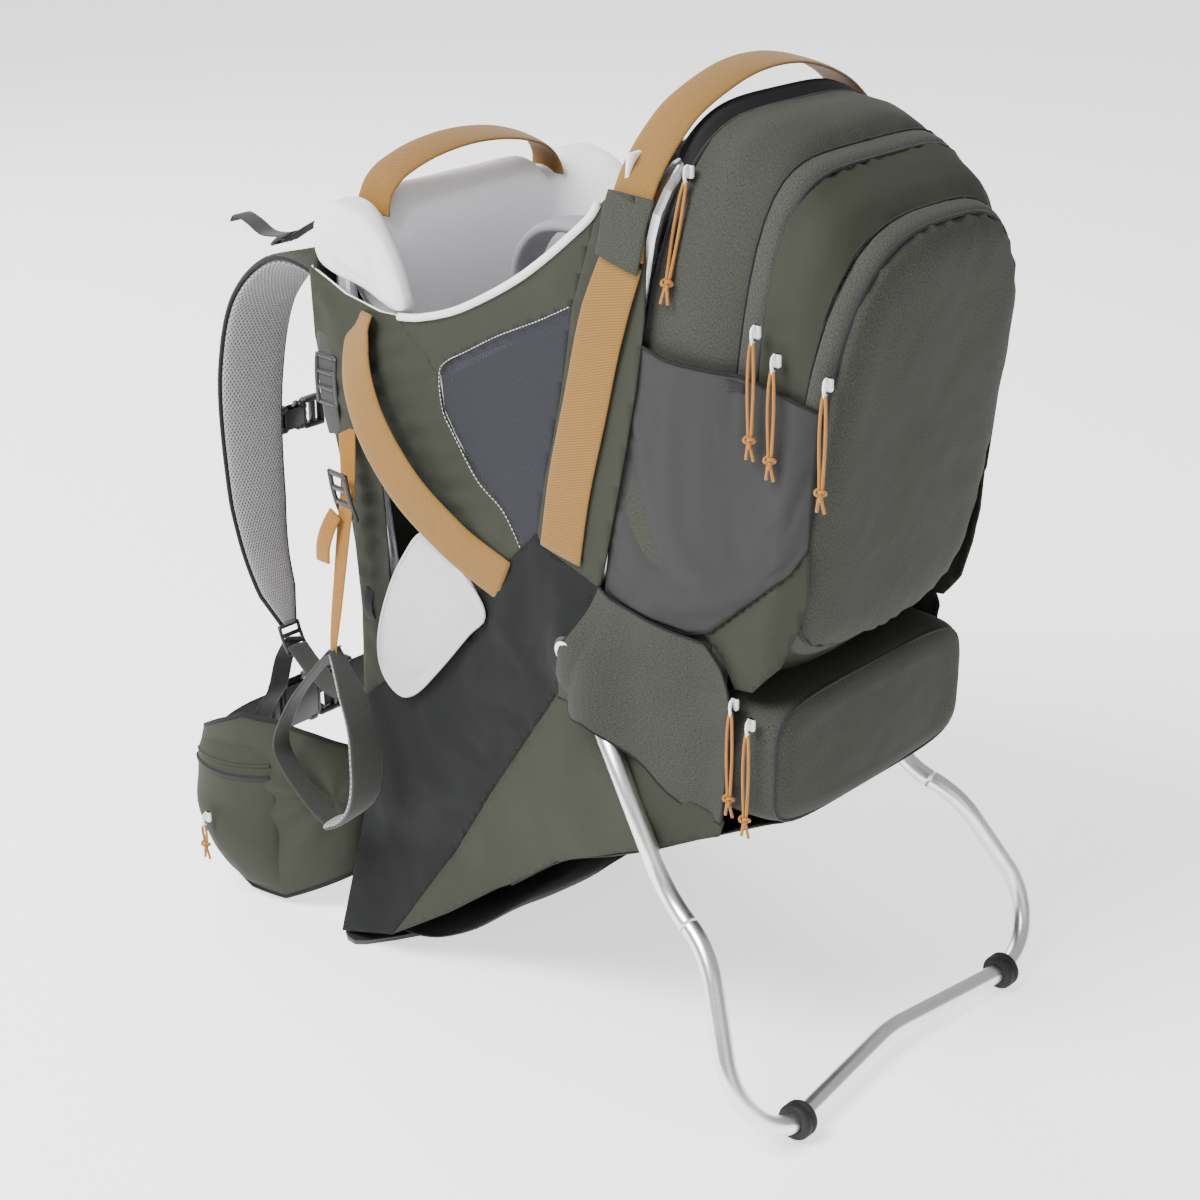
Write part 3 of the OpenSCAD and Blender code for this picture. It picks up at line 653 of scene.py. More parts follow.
CLOTH_X = 147.5
FLARE_Z, FLARE_SLOPE = 114, 0.303
WINDOW = [(-75, 540), (-82, 552), (-108, 567), (-140, 585), (-182, 605), (-214, 622), (-201, 547),
          (-185, 480), (-177, 434), (-160, 418), (-142, 444), (-115, 462), (-90, 494), (-78, 512)]
SEAM = [(-30, 578), (-41, 565), (-63, 549), (-71, 539), (-76, 510), (-90, 489), (-115, 462),
        (-142, 444), (-160, 418)]
OPENING_TOP = [(-110, 365), (-71, 409), (-26, 450), (2, 480)]
OPENING_FRONT = [(-2, 427), (-6, 368), (-8, 313), (-10, 264)]
OPENING_LOW = [(-29, 278), (-104, 328)]
FRONT_EDGE = [(31, 227), (29, 313), (34, 368), (44, 427), (59, 485), (72, 542)]
RIM = [(-30, 578), (-57, 583), (-101, 599), (-165, 636), (-225, 684), (-240, 702)]
REAR_SEAM = [(-284, 667), (-283, 625), (-276, 570), (-266, 520), (-255, 470), (-241, 406)]
LOW_SEAM = [(-226, 359), (-212, 332), (-197, 304), (-119, 186), (-62, 92), (-24, 26)]


def side_x(z):
    """How far out the side cloth lies: it leans out to the foot below the flare."""
    return CLOTH_X + FLARE_SLOPE * 4 * np.logaddexp(0, (FLARE_Z - z) / 4)


HUB_Y, HUB_Z, HUB_SIZE, HUB_OUT = -229, 352, 27, 25


def hub_bulge(y, z):
    """The cloth stands out over the hinge and the top of a kickstand leg."""
    fall = ((y - HUB_Y) / HUB_SIZE) ** 2 + (np.maximum(z - HUB_Z, 0) / HUB_SIZE) ** 2
    return HUB_OUT * np.exp(-fall) * ramp(z, 296, 336)


def drawn_in(y, amount):
    """Behind the hinges the body narrows to meet the lower pocket."""
    return amount * ramp(-y, 285, 352)


def bulged(points, outline, bulge, reach=26.0):
    d = edge_distance(points, outline)
    return bulge * (1 - np.exp(-(d / reach) ** 2)), d


def side_panel(name, outline, mat, bulge, side, nodes=(), wrinkle=None, inward=0.0, cell=7.0,
               slack=0.0, pressure=0.0):
    """One sewn panel of a side wall: flat outline (y, z), puffed between its seams."""
    points, faces = cut_panel(outline, cell)
    out, d = bulged(points, outline, bulge)
    x = side_x(points[:, 1]) + out - inward - drawn_in(points[:, 0], 15)
    x = x + hub_bulge(points[:, 0], points[:, 1])
    if wrinkle is not None:
        x = x + arr([wrinkle(y, z, k) for (y, z), k in zip(points, d)])
    verts = np.stack([-x, points[:, 0], points[:, 1]], -1)
    uvs = [tuple(points[i]) for f in faces for i in f]
    shell = (verts, faces, uvs)
    o = piece(name, shell, mat, side, nodes=nodes)
    if slack:
        settle(o, np.flatnonzero(d < PIN_BAND), slack, side * pressure)
    declare_sheet(o)
    thicken(o, CLOTH_THICK)
    return o


def soft_folds(y, z, d):
    """Slack in the big panels: long shallow folds that die out at the seams."""
    ridges = math.sin((y * 0.75 + z * 0.66) / 9 + 2.5 * rough((y, z, 0), 60, 3.0))
    drag = 1.5 * ridges * rough((y, z, 7), 50, 1.5)
    slow = 3.4 * rough((y, z * 0.45, 0), 46, 2.0)
    return (slow + drag) * min(d / 20, 1) + 0.6 * rough((y, z, 0), 14, 5.0)


def gathers(y, z, d):
    """Gathered cloth beside the front strap: folds across the strip."""
    along = z * 0.86 + y * 0.25
    fade = min(d / 9, 1)
    return fade * (1.6 * math.sin(along / 3.1 + 2.2 * rough((y, z, 0), 30, 1.0))
                   * (0.6 + 0.6 * rough((y, z, 4), 25, 7.0)) + 1.4 * rough((y, z, 0), 17, 3.0))


def tight(y, z, d):
    """Cloth under tension: only a slow unevenness."""
    return 0.9 * rough((y, z * 0.6, 0), 40, 8.0)


front_outline = ([(75, 600), (34, 584), (-6, 577)] + SEAM + OPENING_TOP + OPENING_FRONT + FRONT_EDGE)
rear_outline = ([(-214, 622), (-240, 700), (-252, 712), (-272, 712), (-282, 690)] + REAR_SEAM
                + [(-181, 426), (-177, 434), (-185, 480), (-201, 547)])
# Outline of the low side panel, the one whose colour is painted shade.
painted_shade_outline = ([(-110, 365), (-160, 418), (-177, 434), (-181, 426), (-241, 406)] + LOW_SEAM
                + [(-20, 23), (38, 6), (37, 110), (31, 227), (-10, 264)] + OPENING_LOW)
gusset_outline = (LOW_SEAM[2:] + [(-20, 23), (-78, 62), (-128, 101), (-142, 110), (-194, 151), (-232, 170),
                                  (-300, 203), (-350, 226), (-354, 240), (-318, 252), (-282, 280),
                                  (-246, 308), (-224, 308), (-205, 308)])
window_frame = [(-30, 578), (-41, 565), (-63, 549), (-71, 539), (-75, 540), (-82, 552), (-108, 567),
                (-140, 585), (-182, 605), (-214, 622), (-240, 700), (-225, 684), (-165, 636),
                (-101, 599), (-57, 583)]
WINDOW_PATCH = [(-84, 538), (-92, 552), (-150, 582), (-160, 574), (-157, 540), (-96, 512)]
LINING_OUTLINE = front_outline[:12] + [(-100, 470), (0, 505), (60, 500)]
for side, end in SIDES:
    wall = [f"side_wall_{end}"]
    side_panel(f"side_front_{end}", front_outline, OLIVE, 5, side, wall, gathers, cell=4.5)
    side_panel(f"side_over_window_{end}", window_frame, OLIVE, 5, side, wall, tight)
    side_panel(f"side_rear_{end}", rear_outline, OLIVE, 3, side, wall, tight)
    # The low panel's near-black colour is painted shade, not a darker cloth.
    for part, outline, mat in (("low", painted_shade_outline, SHADE_PAINTED_CLOTH),
                                     ("gusset", gusset_outline, OLIVE)):
        side_panel(f"side_{part}_{end}", outline, mat, 5, side, wall, soft_folds, slack=PANEL_SLACK,
                   pressure=PUFF_PRESSURE)
    side_panel(f"side_window_{end}", WINDOW, NET, 1.5, side, ["mesh_windows"])
    side_panel(f"window_patch_{end}", WINDOW_PATCH, PATCH, 0.5, side, inward=1.4)
    edge = [(-CLOTH_X - 3.4, y, z) for y, z in resample(smooth(WINDOW[9:] + WINDOW[:6], 6), 120)]
    piece(f"window_stitches_{end}", dashes(edge, 3.6, 2.3, 0.42), THREAD_PALE, side)
    for part, outline in (("front", LINING_OUTLINE), ("over_window", window_frame)):
        side_panel(f"lining_{part}_{end}", outline, FLEECE, 0, side, wall, inward=2.6)


# ---- Luggage: lofted bags, bands and zips ---------------------------------

def bag_ring(y, half_x, z0, z1, lean=0.0, n_top=3.0, n_low=4.0, count=96):
    """Rounded front-view outline; y leans back by lean for each mm of z."""
    zm = z0 + (z1 - z0) * 0.45
    a = np.arange(count) * 2 * math.pi / count
    c, s = np.cos(a), np.sin(a)
    e = np.where(s > 0, n_top, n_low)
    k = (np.abs(c) ** e + np.abs(s) ** e) ** (-1 / e)
    z = zm + k * s * np.where(s > 0, z1 - zm, zm - z0)
    return np.stack([half_x * k * c, y - lean * (z - 500), z], -1)


def creased(rows, size=1.0, seed=1.0, ends=(1.0, 1.0)):
    """Pushes loft rows in and out like filled cloth: shallow folds and small puckers at the ends."""
    rows = arr(rows)
    r, c = rows.shape[:2]
    across = unit(np.gradient(rows, axis=0))
    along = unit(np.roll(rows, -1, 1) - np.roll(rows, 1, 1))
    out = unit(np.cross(across, along))
    if (out[:, 0, 0] * rows[:, 0, 0]).mean() < 0:
        out = -out
    arc = np.r_[0, np.cumsum(np.linalg.norm(np.diff(rows[r // 2], axis=0), axis=1))]
    for i in range(r):
        t = i / max(r - 1, 1)
        near = ends[0] * math.exp(-(t / 0.22) ** 2) + ends[1] * math.exp(-((1 - t) / 0.22) ** 2)
        for j in range(c):
            p = rows[i, j]
            d = (1.6 * rough(p * [1, 1, 0.6], 60, seed) + 0.5 * rough(p, 20, seed + 4)
                 + near * 0.55 * math.sin(arc[j] / 2.6 + 4 * rough(p, 35, seed + 9)))
            rows[i, j] = p + out[i, j] * d * size
    return rows


MAIN = [(-252, 124, 200, 750, 0.13, 4), (-258, 139, 190, 758, 0.13, 4), (-263, 142, 186, 760, 0.13, 4),
        (-275, 142.5, 186, 760, 0.12, 4), (-300, 140, 190, 759, 0.11, 4), (-328, 133.5, 198, 752, 0.09, 4),
        (-343, 127.5, 208, 741, 0.08, 4.5)]
BAND_ONE = [(-343.5, 127, 209, 740, 0.08, 5), (-346, 127.4, 209, 739.5, 0.08, 5),
            (-353, 126, 214, 737, 0.085, 5), (-357, 124, 218, 733, 0.09, 5)]
MID = [(-358.5, 122.8, 334, 731, 0.09, 5), (-366, 124, 338, 727, 0.095, 4.5),
       (-384, 123.5, 352, 716, 0.11, 4), (-396, 122, 364, 704, 0.12, 3.2)]
BAND_TWO = [(-397, 122, 364, 703.5, 0.12, 3), (-399, 122.6, 364, 703, 0.125, 3),
            (-404, 119.5, 368, 700.5, 0.135, 3), (-407.5, 114.5, 371, 697, 0.14, 3)]
FRONT = [(-408.5, 112.8, 372, 695, 0.14, 3), (-414, 110, 376, 690, 0.14, 3), (-418, 102, 384, 680, 0.14, 3),
         (-420, 90, 396, 664, 0.14, 3)]
LOW = [(-345, 124, 242, 342, 0.05, 5, 5), (-350, 127.5, 236, 346, 0.05, 5, 5),
       (-372, 127, 234, 346, 0.02, 5, 5), (-388, 123.5, 236, 343, 0, 5, 5), (-395, 117, 241, 337, 0, 5, 5),
       (-398, 106, 249, 328, 0, 5, 5)]


def face_rings(last, steps=(0.8, 0.55, 0.3, 0.08), crown=3.0):
    """Rings that carry a pocket's last ring in to the middle of its face."""
    centre = last.mean(0)
    return [centre + (last - centre) * k + [0, -crown * (1 - k), 0] for k in steps]


def rings(specs):
    return [bag_ring(*s) for s in specs]


def part_ring(spec, keep, count=200):
    """The stretch of a ring that keep accepts, from the left side over the top to the right."""
    ring = np.roll(bag_ring(*spec, count=count), -count // 4 * 3, axis=0)
    ring = ring[::-1]
    return arr([p for p in ring if keep(p)])


def bag(name, rows, mat, nodes, caps=False):
    return piece(name, grid(rows, wrap=True, caps=caps), mat, nodes=nodes)


bag("pack_main_shell", creased(loft_rows(rings(MAIN), 8), 1.5, 1.0, (0.5, 1.0)), HEATHER, ["pack_main"])
bag("pack_zip_band", creased(loft_rows(rings(BAND_ONE), 4), 0.35, 2.0), HEATHER_DARK, ["pack_main"])
mid_rows = creased(loft_rows(rings(MID), 12), 1.7, 3.0, (1.3, 1.2))
bag("mid_pocket_gusset", mid_rows, OLIVE, ["mid_pocket"])
bag("front_zip_band", creased(loft_rows(rings(BAND_TWO), 4), 0.35, 4.0), HEATHER_DARK, ["mid_pocket"])
front_rows = creased(loft_rows(rings(FRONT) + face_rings(bag_ring(*FRONT[-1]), crown=2.0), 6), 1.5, 5.0,
                     (1.8, 0.0))
bag("front_pocket_shell", front_rows, HEATHER, ["front_pocket"], True)
low_rows = creased(loft_rows(rings(LOW) + face_rings(bag_ring(*LOW[-1]), crown=1.5), 6), 1.2, 6.0, (0.8, 0.0))
bag("lower_pocket_shell", low_rows, HEATHER, ["lower_pocket"], True)
SEAMS = {"zip_mid": ((-357.8, 123.8, 219, 732.6, 0.09, 5), 1.4),
         "zip_front": ((-408, 114, 371.5, 696.4, 0.14, 3), 1.5),
         "seam_mid": ((-343.2, 127.6, 208.5, 741, 0.08, 5), 0.8),
         "seam_front": ((-396.5, 122.4, 364, 704, 0.12, 3.1), 0.8),
         "seam_low_front": ((-392, 120.6, 238, 341, 0, 5, 5), 1.5),
         "seam_low_rear": ((-349, 127.8, 235.6, 346.4, 0.05, 5, 5), 1.2)}
for name, (spec, size) in SEAMS.items():
    piece(name, rod(bag_ring(*spec), size, 8, closed=True), BLACK_CLOTH)


# ---- Pack details: top panel, side pockets, leg covers --------------------

main_zip = part_ring((-263.5, 142.6, 186, 760.6, 0.13, 4), lambda p: p[2] > 600)
piece("zip_main", rod(main_zip, 1.6, 8), BLACK_CLOTH)
TOP_PANEL = [(-236, 116, 190, 752, 0.13, 4), (-240, 130, 190, 764, 0.13, 4), (-247, 138, 188, 769, 0.13, 4),
             (-255, 141.5, 188, 767, 0.13, 4), (-262, 142, 188, 761, 0.13, 4)]
top_rows = [resample(part_ring(s, lambda p: p[2] > 690), 70) for s in TOP_PANEL]
top_rows = [[np.interp(t, range(5), [r[i][k] for r in top_rows]) for k in range(3)]
            for t in np.linspace(0, 4, 17) for i in range(70)]
piece("pack_top_panel", grid(arr(top_rows).reshape(17, 70, 3)), DARKER, nodes=["pack_main"])


def pack_out(y, z):
    """Half width of the pack at a point of its flank."""
    depth = -(y + 0.11 * (z - 500))
    return np.interp(depth, [250, 262, 300, 328, 343, 358, 396, 409, 430],
                     [141, 143, 141, 134.5, 129, 125, 123, 114, 100])


POCKET_LOW = [(-243, 404), (-262, 397), (-290, 391), (-318, 387), (-334, 391), (-362, 418), (-398, 451),
              (-410, 474)]
POCKET_TOP = [(-262, 616), (-278, 605), (-300, 599), (-330, 597), (-357, 596), (-385, 590), (-408, 583),
              (-418, 577)]


def side_pocket():
    """Stretch pocket: its cloth sags a little between its seams and stands off at the top edge."""
    low, top = resample(arr(POCKET_LOW), 44), resample(arr(POCKET_TOP), 44)
    rows = []
    for t in np.linspace(0, 1, 38):
        row = []
        for i in range(44):
            y, z = low[i] + (top[i] - low[i]) * t
            u = i / 43
            puff = 4.5 * math.sin(math.pi * u) ** 0.8 * math.sin(math.pi * min(t * 1.15, 1)) ** 0.7
            puff += 1.1 * rough((y, z * 0.7, 0), 55, 11) + 2.0 * ramp(t, 0.8, 1.0) * math.sin(math.pi * u)
            row.append((-pack_out(y, z) - 2.4 - puff, y, z))
        rows.append(row)
    return arr(rows)


pocket_rows = side_pocket()
grid_index = np.arange(pocket_rows.shape[0] * pocket_rows.shape[1]).reshape(pocket_rows.shape[:2])
RIM_OF_POCKET = np.concatenate([grid_index[0], grid_index[-1], grid_index[:, 0], grid_index[:, -1]])
for side, end in SIDES:
    pocket = piece(f"side_pocket_{end}", grid(pocket_rows), POCKET, side, nodes=["side_pockets"])
    settle(pocket, RIM_OF_POCKET, POCKET_SLACK, side * PUFF_PRESSURE)
    declare_sheet(pocket)
    thicken(pocket, CLOTH_THICK)
    edge = pocket_rows[-1] + [-0.8, 0, 0]
    piece(f"pocket_edge_{end}", rod(edge, 1.3, 8), DARKER, side)
    seam = np.vstack([pocket_rows[::-1, -1], pocket_rows[0, ::-1]]) + [-0.5, 0, 0]
    piece(f"pocket_seam_{end}", rod(seam, 0.9, 6), DARKER, side)
    tab = pocket_rows[-2][24:29] + [-2.2, 0, -3]
    piece(f"pocket_tab_{end}", strap(tab, 7, 0.8, (0, 0, 1), 8), BLACK_CLOTH, side)

COVER_LOW = [(-197, 302), (-224, 302), (-246, 303), (-282, 276), (-318, 246), (-340, 238), (-352, 237)]
COVER_TOP = [(-241, 408), (-252, 402), (-283, 394), (-315, 388), (-334, 384), (-348, 366), (-362, 336)]


def leg_cover():
    """Cloth over the hinge and the top of a kickstand leg, open below where the leg comes out."""
    low, top = resample(arr(COVER_LOW), 60), resample(arr(COVER_TOP), 60)
    rows = []
    for t in np.linspace(0, 1, 40):
        row = []
        for i in range(60):
            y, z = low[i] + (top[i] - low[i]) * t
            u = i / 59
            edge = min(1, math.sin(math.pi * u) * 5)
            mouth = 26 * math.exp(-((y + 242) / 26) ** 2 - (max(z - 345, 0) / 30) ** 2)
            bulge = max(hub_bulge(y, z), mouth * float(ramp(u, 0.02, 0.14)))
            x = 149 - drawn_in(y, 16) + bulge + 2.6 * rough((y, z, 0), 32, 13) * edge
            x += 1.6 * math.exp(-((z - 352 - 0.2 * (y + 300)) / 7) ** 2) * ramp(-y, 255, 285)
            row.append((-x, y, z))
        rows.append(row)
    return arr(rows)


cover_rows = leg_cover()
for side, end in SIDES:
    cover = piece(f"leg_cover_{end}", grid(cover_rows), HEATHER, side, nodes=["leg_skirts"])
    declare_sheet(cover)
    thicken(cover, CLOTH_THICK)
    outline = np.vstack([cover_rows[-1], cover_rows[::-1, -1], cover_rows[0, ::-1], cover_rows[:, 0]])
    piece(f"leg_cover_hem_{end}", rod(outline + [-0.3, 0, 0], 1.0, 8), DARKER, side)


# Undersides: black cloth below the seat, and olive cloth from there to the lower pocket
PAN_LINE = [(34, 5), (-26, 9), (-84, 38), (-150, 90), (-215, 138), (-236, 156)]
UNDER_LINE = [(-140, 108), (-194, 150), (-232, 169), (-300, 202), (-350, 226), (-388, 240)]


def underside(line, half_width, sag, lumps, size, seed, count):
    """Rows across the body along a line (y, z), hanging by sag in the middle."""
    return [[(half_width(y) * u, y, z - sag * (1 - u * u) + lumps * rough((150 * u, y, z), size, seed))
             for u in np.linspace(-1, 1, count)] for y, z in resample(smooth(line, 6), 40)]


def under_half(y):
    return 147 - float(drawn_in(y, 17)) - 26 * float(ramp(-y, 340, 388))


pan = piece("bottom_cloth", grid(underside(PAN_LINE, lambda y: 143, -4, 1.2, 50, 41, 50)), BLACK_CLOTH,
            nodes=["bottom_pan"])
under = piece("pack_underside", grid(underside(UNDER_LINE, under_half, 5, 1.6, 45, 37, 60)), OLIVE)
for o in (pan, under):
    declare_sheet(o)
    thicken(o, CLOTH_THICK)

# Olive gusset between the side pocket, the front pocket and the lower pocket
GUSSET = [(-312, 392), (-330, 388), (-344, 372), (-356, 350), (-372, 352), (-392, 376), (-404, 410),
          (-410, 440), (-410, 474), (-398, 452), (-362, 419), (-334, 392)]
for side, end in SIDES:
    pts, faces = cut_panel(GUSSET, 6)
    out, _ = bulged(pts, GUSSET, 3.0, 14)
    verts = [(-pack_out(y, z) - 1.2 - o, y, z) for (y, z), o in zip(pts, out)]
    g = piece(f"pack_gusset_{end}", (verts, faces, [tuple(pts[i]) for f in faces for i in f]), OLIVE, side)
    declare_sheet(g)
    thicken(g, 1.2)


# ---- Drool pad, linings and back system -----------------------------------

PAD_MIDDLE = [(70, 560), (73, 590), (75, 615), (75.5, 638), (71, 650), (60, 656), (46, 655), (35, 647),
              (28, 630), (24, 600), (23, 565), (27, 520), (34, 482), (42, 480), (52, 520), (62, 545)]
PAD_EAR = [(50, 601), (61, 606), (67, 616), (68, 632), (63, 646), (54, 655), (38, 658), (20, 655),
           (0, 646), (-20, 624), (-34, 592), (-30, 582), (-12, 585), (6, 592), (22, 596), (36, 598)]


def drool_pad_shell(count=64):
    """The padded fleece: its middle section opens out to the ears over both side walls."""
    middle = resample(smooth(PAD_MIDDLE, 6, True), count, True)
    ear = resample(smooth(PAD_EAR, 6, True), count, True)
    rows = []
    for x in np.r_[np.linspace(0, 120, 34), np.linspace(124, 146, 12), 149, 151.5, 153.2, 154.2, 154.6]:
        k = ramp(x, 84, 142)
        ring = middle * (1 - k) + ear * k
        low = 13 * math.exp(-((x - 98) / 13) ** 2) * ramp(ring[:, 1], 600, 640)
        centre = ring.mean(0)
        shrink = 1 - 0.5 * ramp(x, 146, 154.6) ** 2.2
        ring = centre + (ring - centre) * shrink
        rows.append([(-x, y, z - dip + 0.7 * rough((x, y, z), 26, 31)) for (y, z), dip in zip(ring, low)])
    left = arr(rows)
    both = np.concatenate([left[::-1], mirror(left[1:].reshape(-1, 3)).reshape(left[1:].shape)])
    return grid(both, wrap=True, caps=True)


pad = piece("drool_pad_fleece", drool_pad_shell(), FLEECE, nodes=["drool_pad"])

for side, end in SIDES:
    path = sided([(-CLOTH_X - 1.4, y, z) for y, z in smooth(RIM, 8)], side)
    piece(f"rim_piping_{end}", rod(path, 3.1, 12), TRIM, nodes=["cockpit_rim_trim"])

REAR_WALL = [(-205, 372), (-221, 440), (-243, 575), (-258, 690), (-262, 738)]


def rear_pad_shell():
    """Padded back rest of the cockpit, rounded over at its top and sides."""
    line = resample(smooth(REAR_WALL, 8), 40)
    rows = []
    for x in np.linspace(-1, 1, 44):
        rim = (1 - abs(x) ** 6)
        column = []
        for t, (y, z) in zip(np.linspace(0, 1, 40), line):
            thick = 11 * rim * (1 - t ** 10) * (1 - (1 - t) ** 8)
            column.append((138 * x, y + 2 + thick + 0.8 * rough((138 * x, y, z), 30, 17), z))
        rows.append(column)
    return grid(rows)


rest = piece("cockpit_back_rest", rear_pad_shell(), FLEECE, nodes=["cockpit_rear_wall"])
thicken(rest, 3, 1)

PANEL_ROWS = [(172, 39, 6), (157, 38, 60), (142, 37, 110), (142, 31, 227), (142, 29, 313), (142, 34, 368),
              (142, 44, 427), (142, 59, 485), (142, 72, 542), (142, 75.5, 590), (142, 75.5, 612)]


def panel_at(z):
    """Half width and y of the back panel at height z."""
    r = arr(PANEL_ROWS)
    return np.interp(z, r[:, 2], r[:, 0]), np.interp(z, r[:, 2], r[:, 1])


def back_panel_shell():
    rows = []
    for z in np.r_[6:612:64j]:
        w, y = panel_at(z)
        w += 2.5
        row = []
        for u in np.linspace(-1, 1, 60):
            edge = 7 * abs(u) ** 10
            row.append((w * u, y - edge + 1.1 * rough((w * u, 0, z), 50, 19) * (1 - abs(u) ** 8), z))
        rows.append(row)
    return grid(rows)


back = piece("back_panel_cloth", back_panel_shell(), OLIVE, nodes=["back_panel"])
thicken(back, 4, -1)


def pillow(rows_of_centres, widths, thick, across, channels=0, sides=28, end=0.12):
    """A padded strip: full in the middle, thin at its edges and ends, with sewn channels across it."""
    path = arr(rows_of_centres)
    n = len(path)
    t = np.linspace(0, 1, n)
    swell = np.clip(np.minimum(t, 1 - t) / end, 0, 1)
    swell = np.sqrt(1 - (1 - swell) ** 2) * 0.88 + 0.12
    if channels:
        swell = swell * (1 - 0.42 * np.exp(-((t * channels % 1 - 0.5) / 0.07) ** 2))
    round_end = np.sqrt(np.clip(1 - (1 - np.clip(np.minimum(t, 1 - t) / (end * 0.7), 0, 1)) ** 2, 0, 1))
    return strap(path, arr(widths) * (0.55 + 0.45 * round_end), thick * swell, across, sides, 2.6)


for side, end in SIDES:
    line = sided([(-46, panel_at(z)[1] + 8, z) for z in np.linspace(250, 570, 60)], side)
    o = piece(f"back_pad_{end}", pillow(line, 58, 15, (1, 0, 0), 5), MESH_PAD, nodes=["back_pads"])
line = [(0, panel_at(z)[1] + 12, z) for z in np.linspace(60, 218, 50)]
widths = np.interp(np.linspace(0, 1, 50), [0, 0.3, 0.7, 1], [150, 186, 186, 150])
o = piece("lumbar_pad_mesh", pillow(line, widths, 22, (1, 0, 0), 3), MESH_PAD, nodes=["lumbar_pad"])


# ---- Shoulder harness -----------------------------------------------------

line = [(0, panel_at(z)[1] + 21, z) for z in np.linspace(408, 552, 40)]
widths = np.interp(np.linspace(0, 1, 40), [0, 0.2, 0.5, 1], [110, 160, 186, 190])
o = piece("harness_yoke_pad", pillow(line, widths, 10, (1, 0, 0), 0), HEATHER_DARK, body="shoulder_harness",
          nodes=["harness_yoke"])

STRAP_PATH = [(-66, 96, 536), (-69, 120, 574), (-76, 168, 577), (-83, 212, 535), (-88, 230, 465),
              (-93, 228, 385), (-99, 212, 300), (-102, 182, 236)]


def shoulder_strap_parts():
    """The strap in two layers: cloth outside, and thick spacer mesh against the shoulder."""
    path = resample(smooth(STRAP_PATH, 10), 90)
    t = np.linspace(0, 1, 90)
    width = np.interp(t, [0, 0.12, 0.5, 0.75, 0.93, 1], [56, 62, 60, 52, 34, 12])
    _, across, normal = frames(path, (1, -0.25, 0))
    inward = normal if (normal[45] * [0, -1, 0]).sum() > 0 else -normal
    outer = strap(path - inward * 3.2, width + 3, 5.5, (1, -0.25, 0), 20, 2.8)
    mesh = strap(path + inward * 2.4, width - 1, np.interp(t, [0, 0.9, 1], [12, 10, 5]), (1, -0.25, 0), 28,
                 2.4)
    edges = [rod(path + s * across * (width[:, None] / 2 + 0.6) - inward * 0.8, 1.7, 8) for s in (-1, 1)]
    return outer, mesh, joined(*edges), inward


outer, mesh, edges, inward = shoulder_strap_parts()
for side, end in SIDES:
    node = [f"shoulder_strap_{end}"]
    piece(f"strap_outer_{end}", outer, HEATHER_DARK, side, "shoulder_harness", nodes=node)
    o = piece(f"strap_mesh_{end}", mesh, MESH_PAD, side, "shoulder_harness", nodes=node)
    piece(f"strap_binding_{end}", edges, BLACK_CLOTH, side, "shoulder_harness")
    lift = smooth([(-78, 180, 590), (-77, 150, 608), (-76, 112, 628), (-75, 84, 638)], 8)
    piece(f"load_lifter_{end}", strap(lift, 20, 2, (1, 0, 0)), HEATHER_DARK, side, "shoulder_harness",
          nodes=["load_lifters"])
    tail = smooth([(-104, 170, 220), (-108, 140, 204), (-112, 100, 196), (-108, 54, 212)], 8)
    piece(f"strap_tail_{end}", strap(tail, 20, 2, (1, 0, 0.2)), GREY_WEB, side, "shoulder_harness",
          nodes=["strap_tails"])
    hang = smooth([(-103, 174, 226), (-106, 186, 204), (-112, 192, 172), (-116, 206, 148),
                   (-121, 214, 120)], 8)
    piece(f"strap_tail_end_{end}", strap(hang, 19, 1.8, (1, -0.3, 0)), GREY_WEB, side, "shoulder_harness",
          nodes=["strap_tails"])


# ---- Buckles and adjusters ------------------------------------------------

def axes(forward, up):
    """A turn whose rows are the axes of a piece: along, across and out."""
    f = unit(arr(forward))
    u = unit(arr(up) - f * arr(up).dot(f))
    return np.stack([f, np.cross(u, f), u], 1)


def ladder_lock(width, length, centre, turn, bar=4.2):
    """A frame of two side rails and four cross bars, the webbing's way through left open."""
    shells = []
    for s in (-1, 1):
        rail = [(s * (width / 2 - bar / 2), k * length / 2, 1.2 - 1.6 * k * k) for k in np.linspace(-1, 1, 9)]
        shells.append(rod(arr(rail) @ arr(turn).T + arr(centre), bar / 2, 10))
    for k in (-0.95, -0.32, 0.32, 0.95):
        ends = [((width / 2 - 1) * s, k * length / 2, 1.2 - 1.6 * k * k) for s in np.linspace(-1, 1, 5)]
        shells.append(strap(arr(ends) @ arr(turn).T + arr(centre), bar * 1.15, bar * 0.8, turn[:, 1], 12, 3))
    return joined(*shells)


def female_half(centre, size):
    """Socket of a side-release buckle, open towards +X, with two side windows."""
    w, d, h = size
    x, y, z = centre
    shells = []
    for s in (-1, 1):
        shells.append(block((x + w * 0.08, y + s * (d / 2 - 1.2), z), (w * 0.84, 2.4, h - 6), edge=1.1))
        shells.append(block((x - w * 0.34, y, z + s * (h / 2 - 3.4)), (w * 0.3, d, 6.8), edge=2))
        shells.append(block((x + w * 0.4, y, z + s * (h / 2 - 3.4)), (w * 0.2, d, 6.8), edge=1.6))
    shells.append(block((x - w * 0.44, y, z), (w * 0.12, d * 0.7, h - 2), edge=1.4))
    shells.append(block((x - w * 0.3, y, z), (w * 0.08, d, h - 4), edge=1.2))
    return joined(*shells)


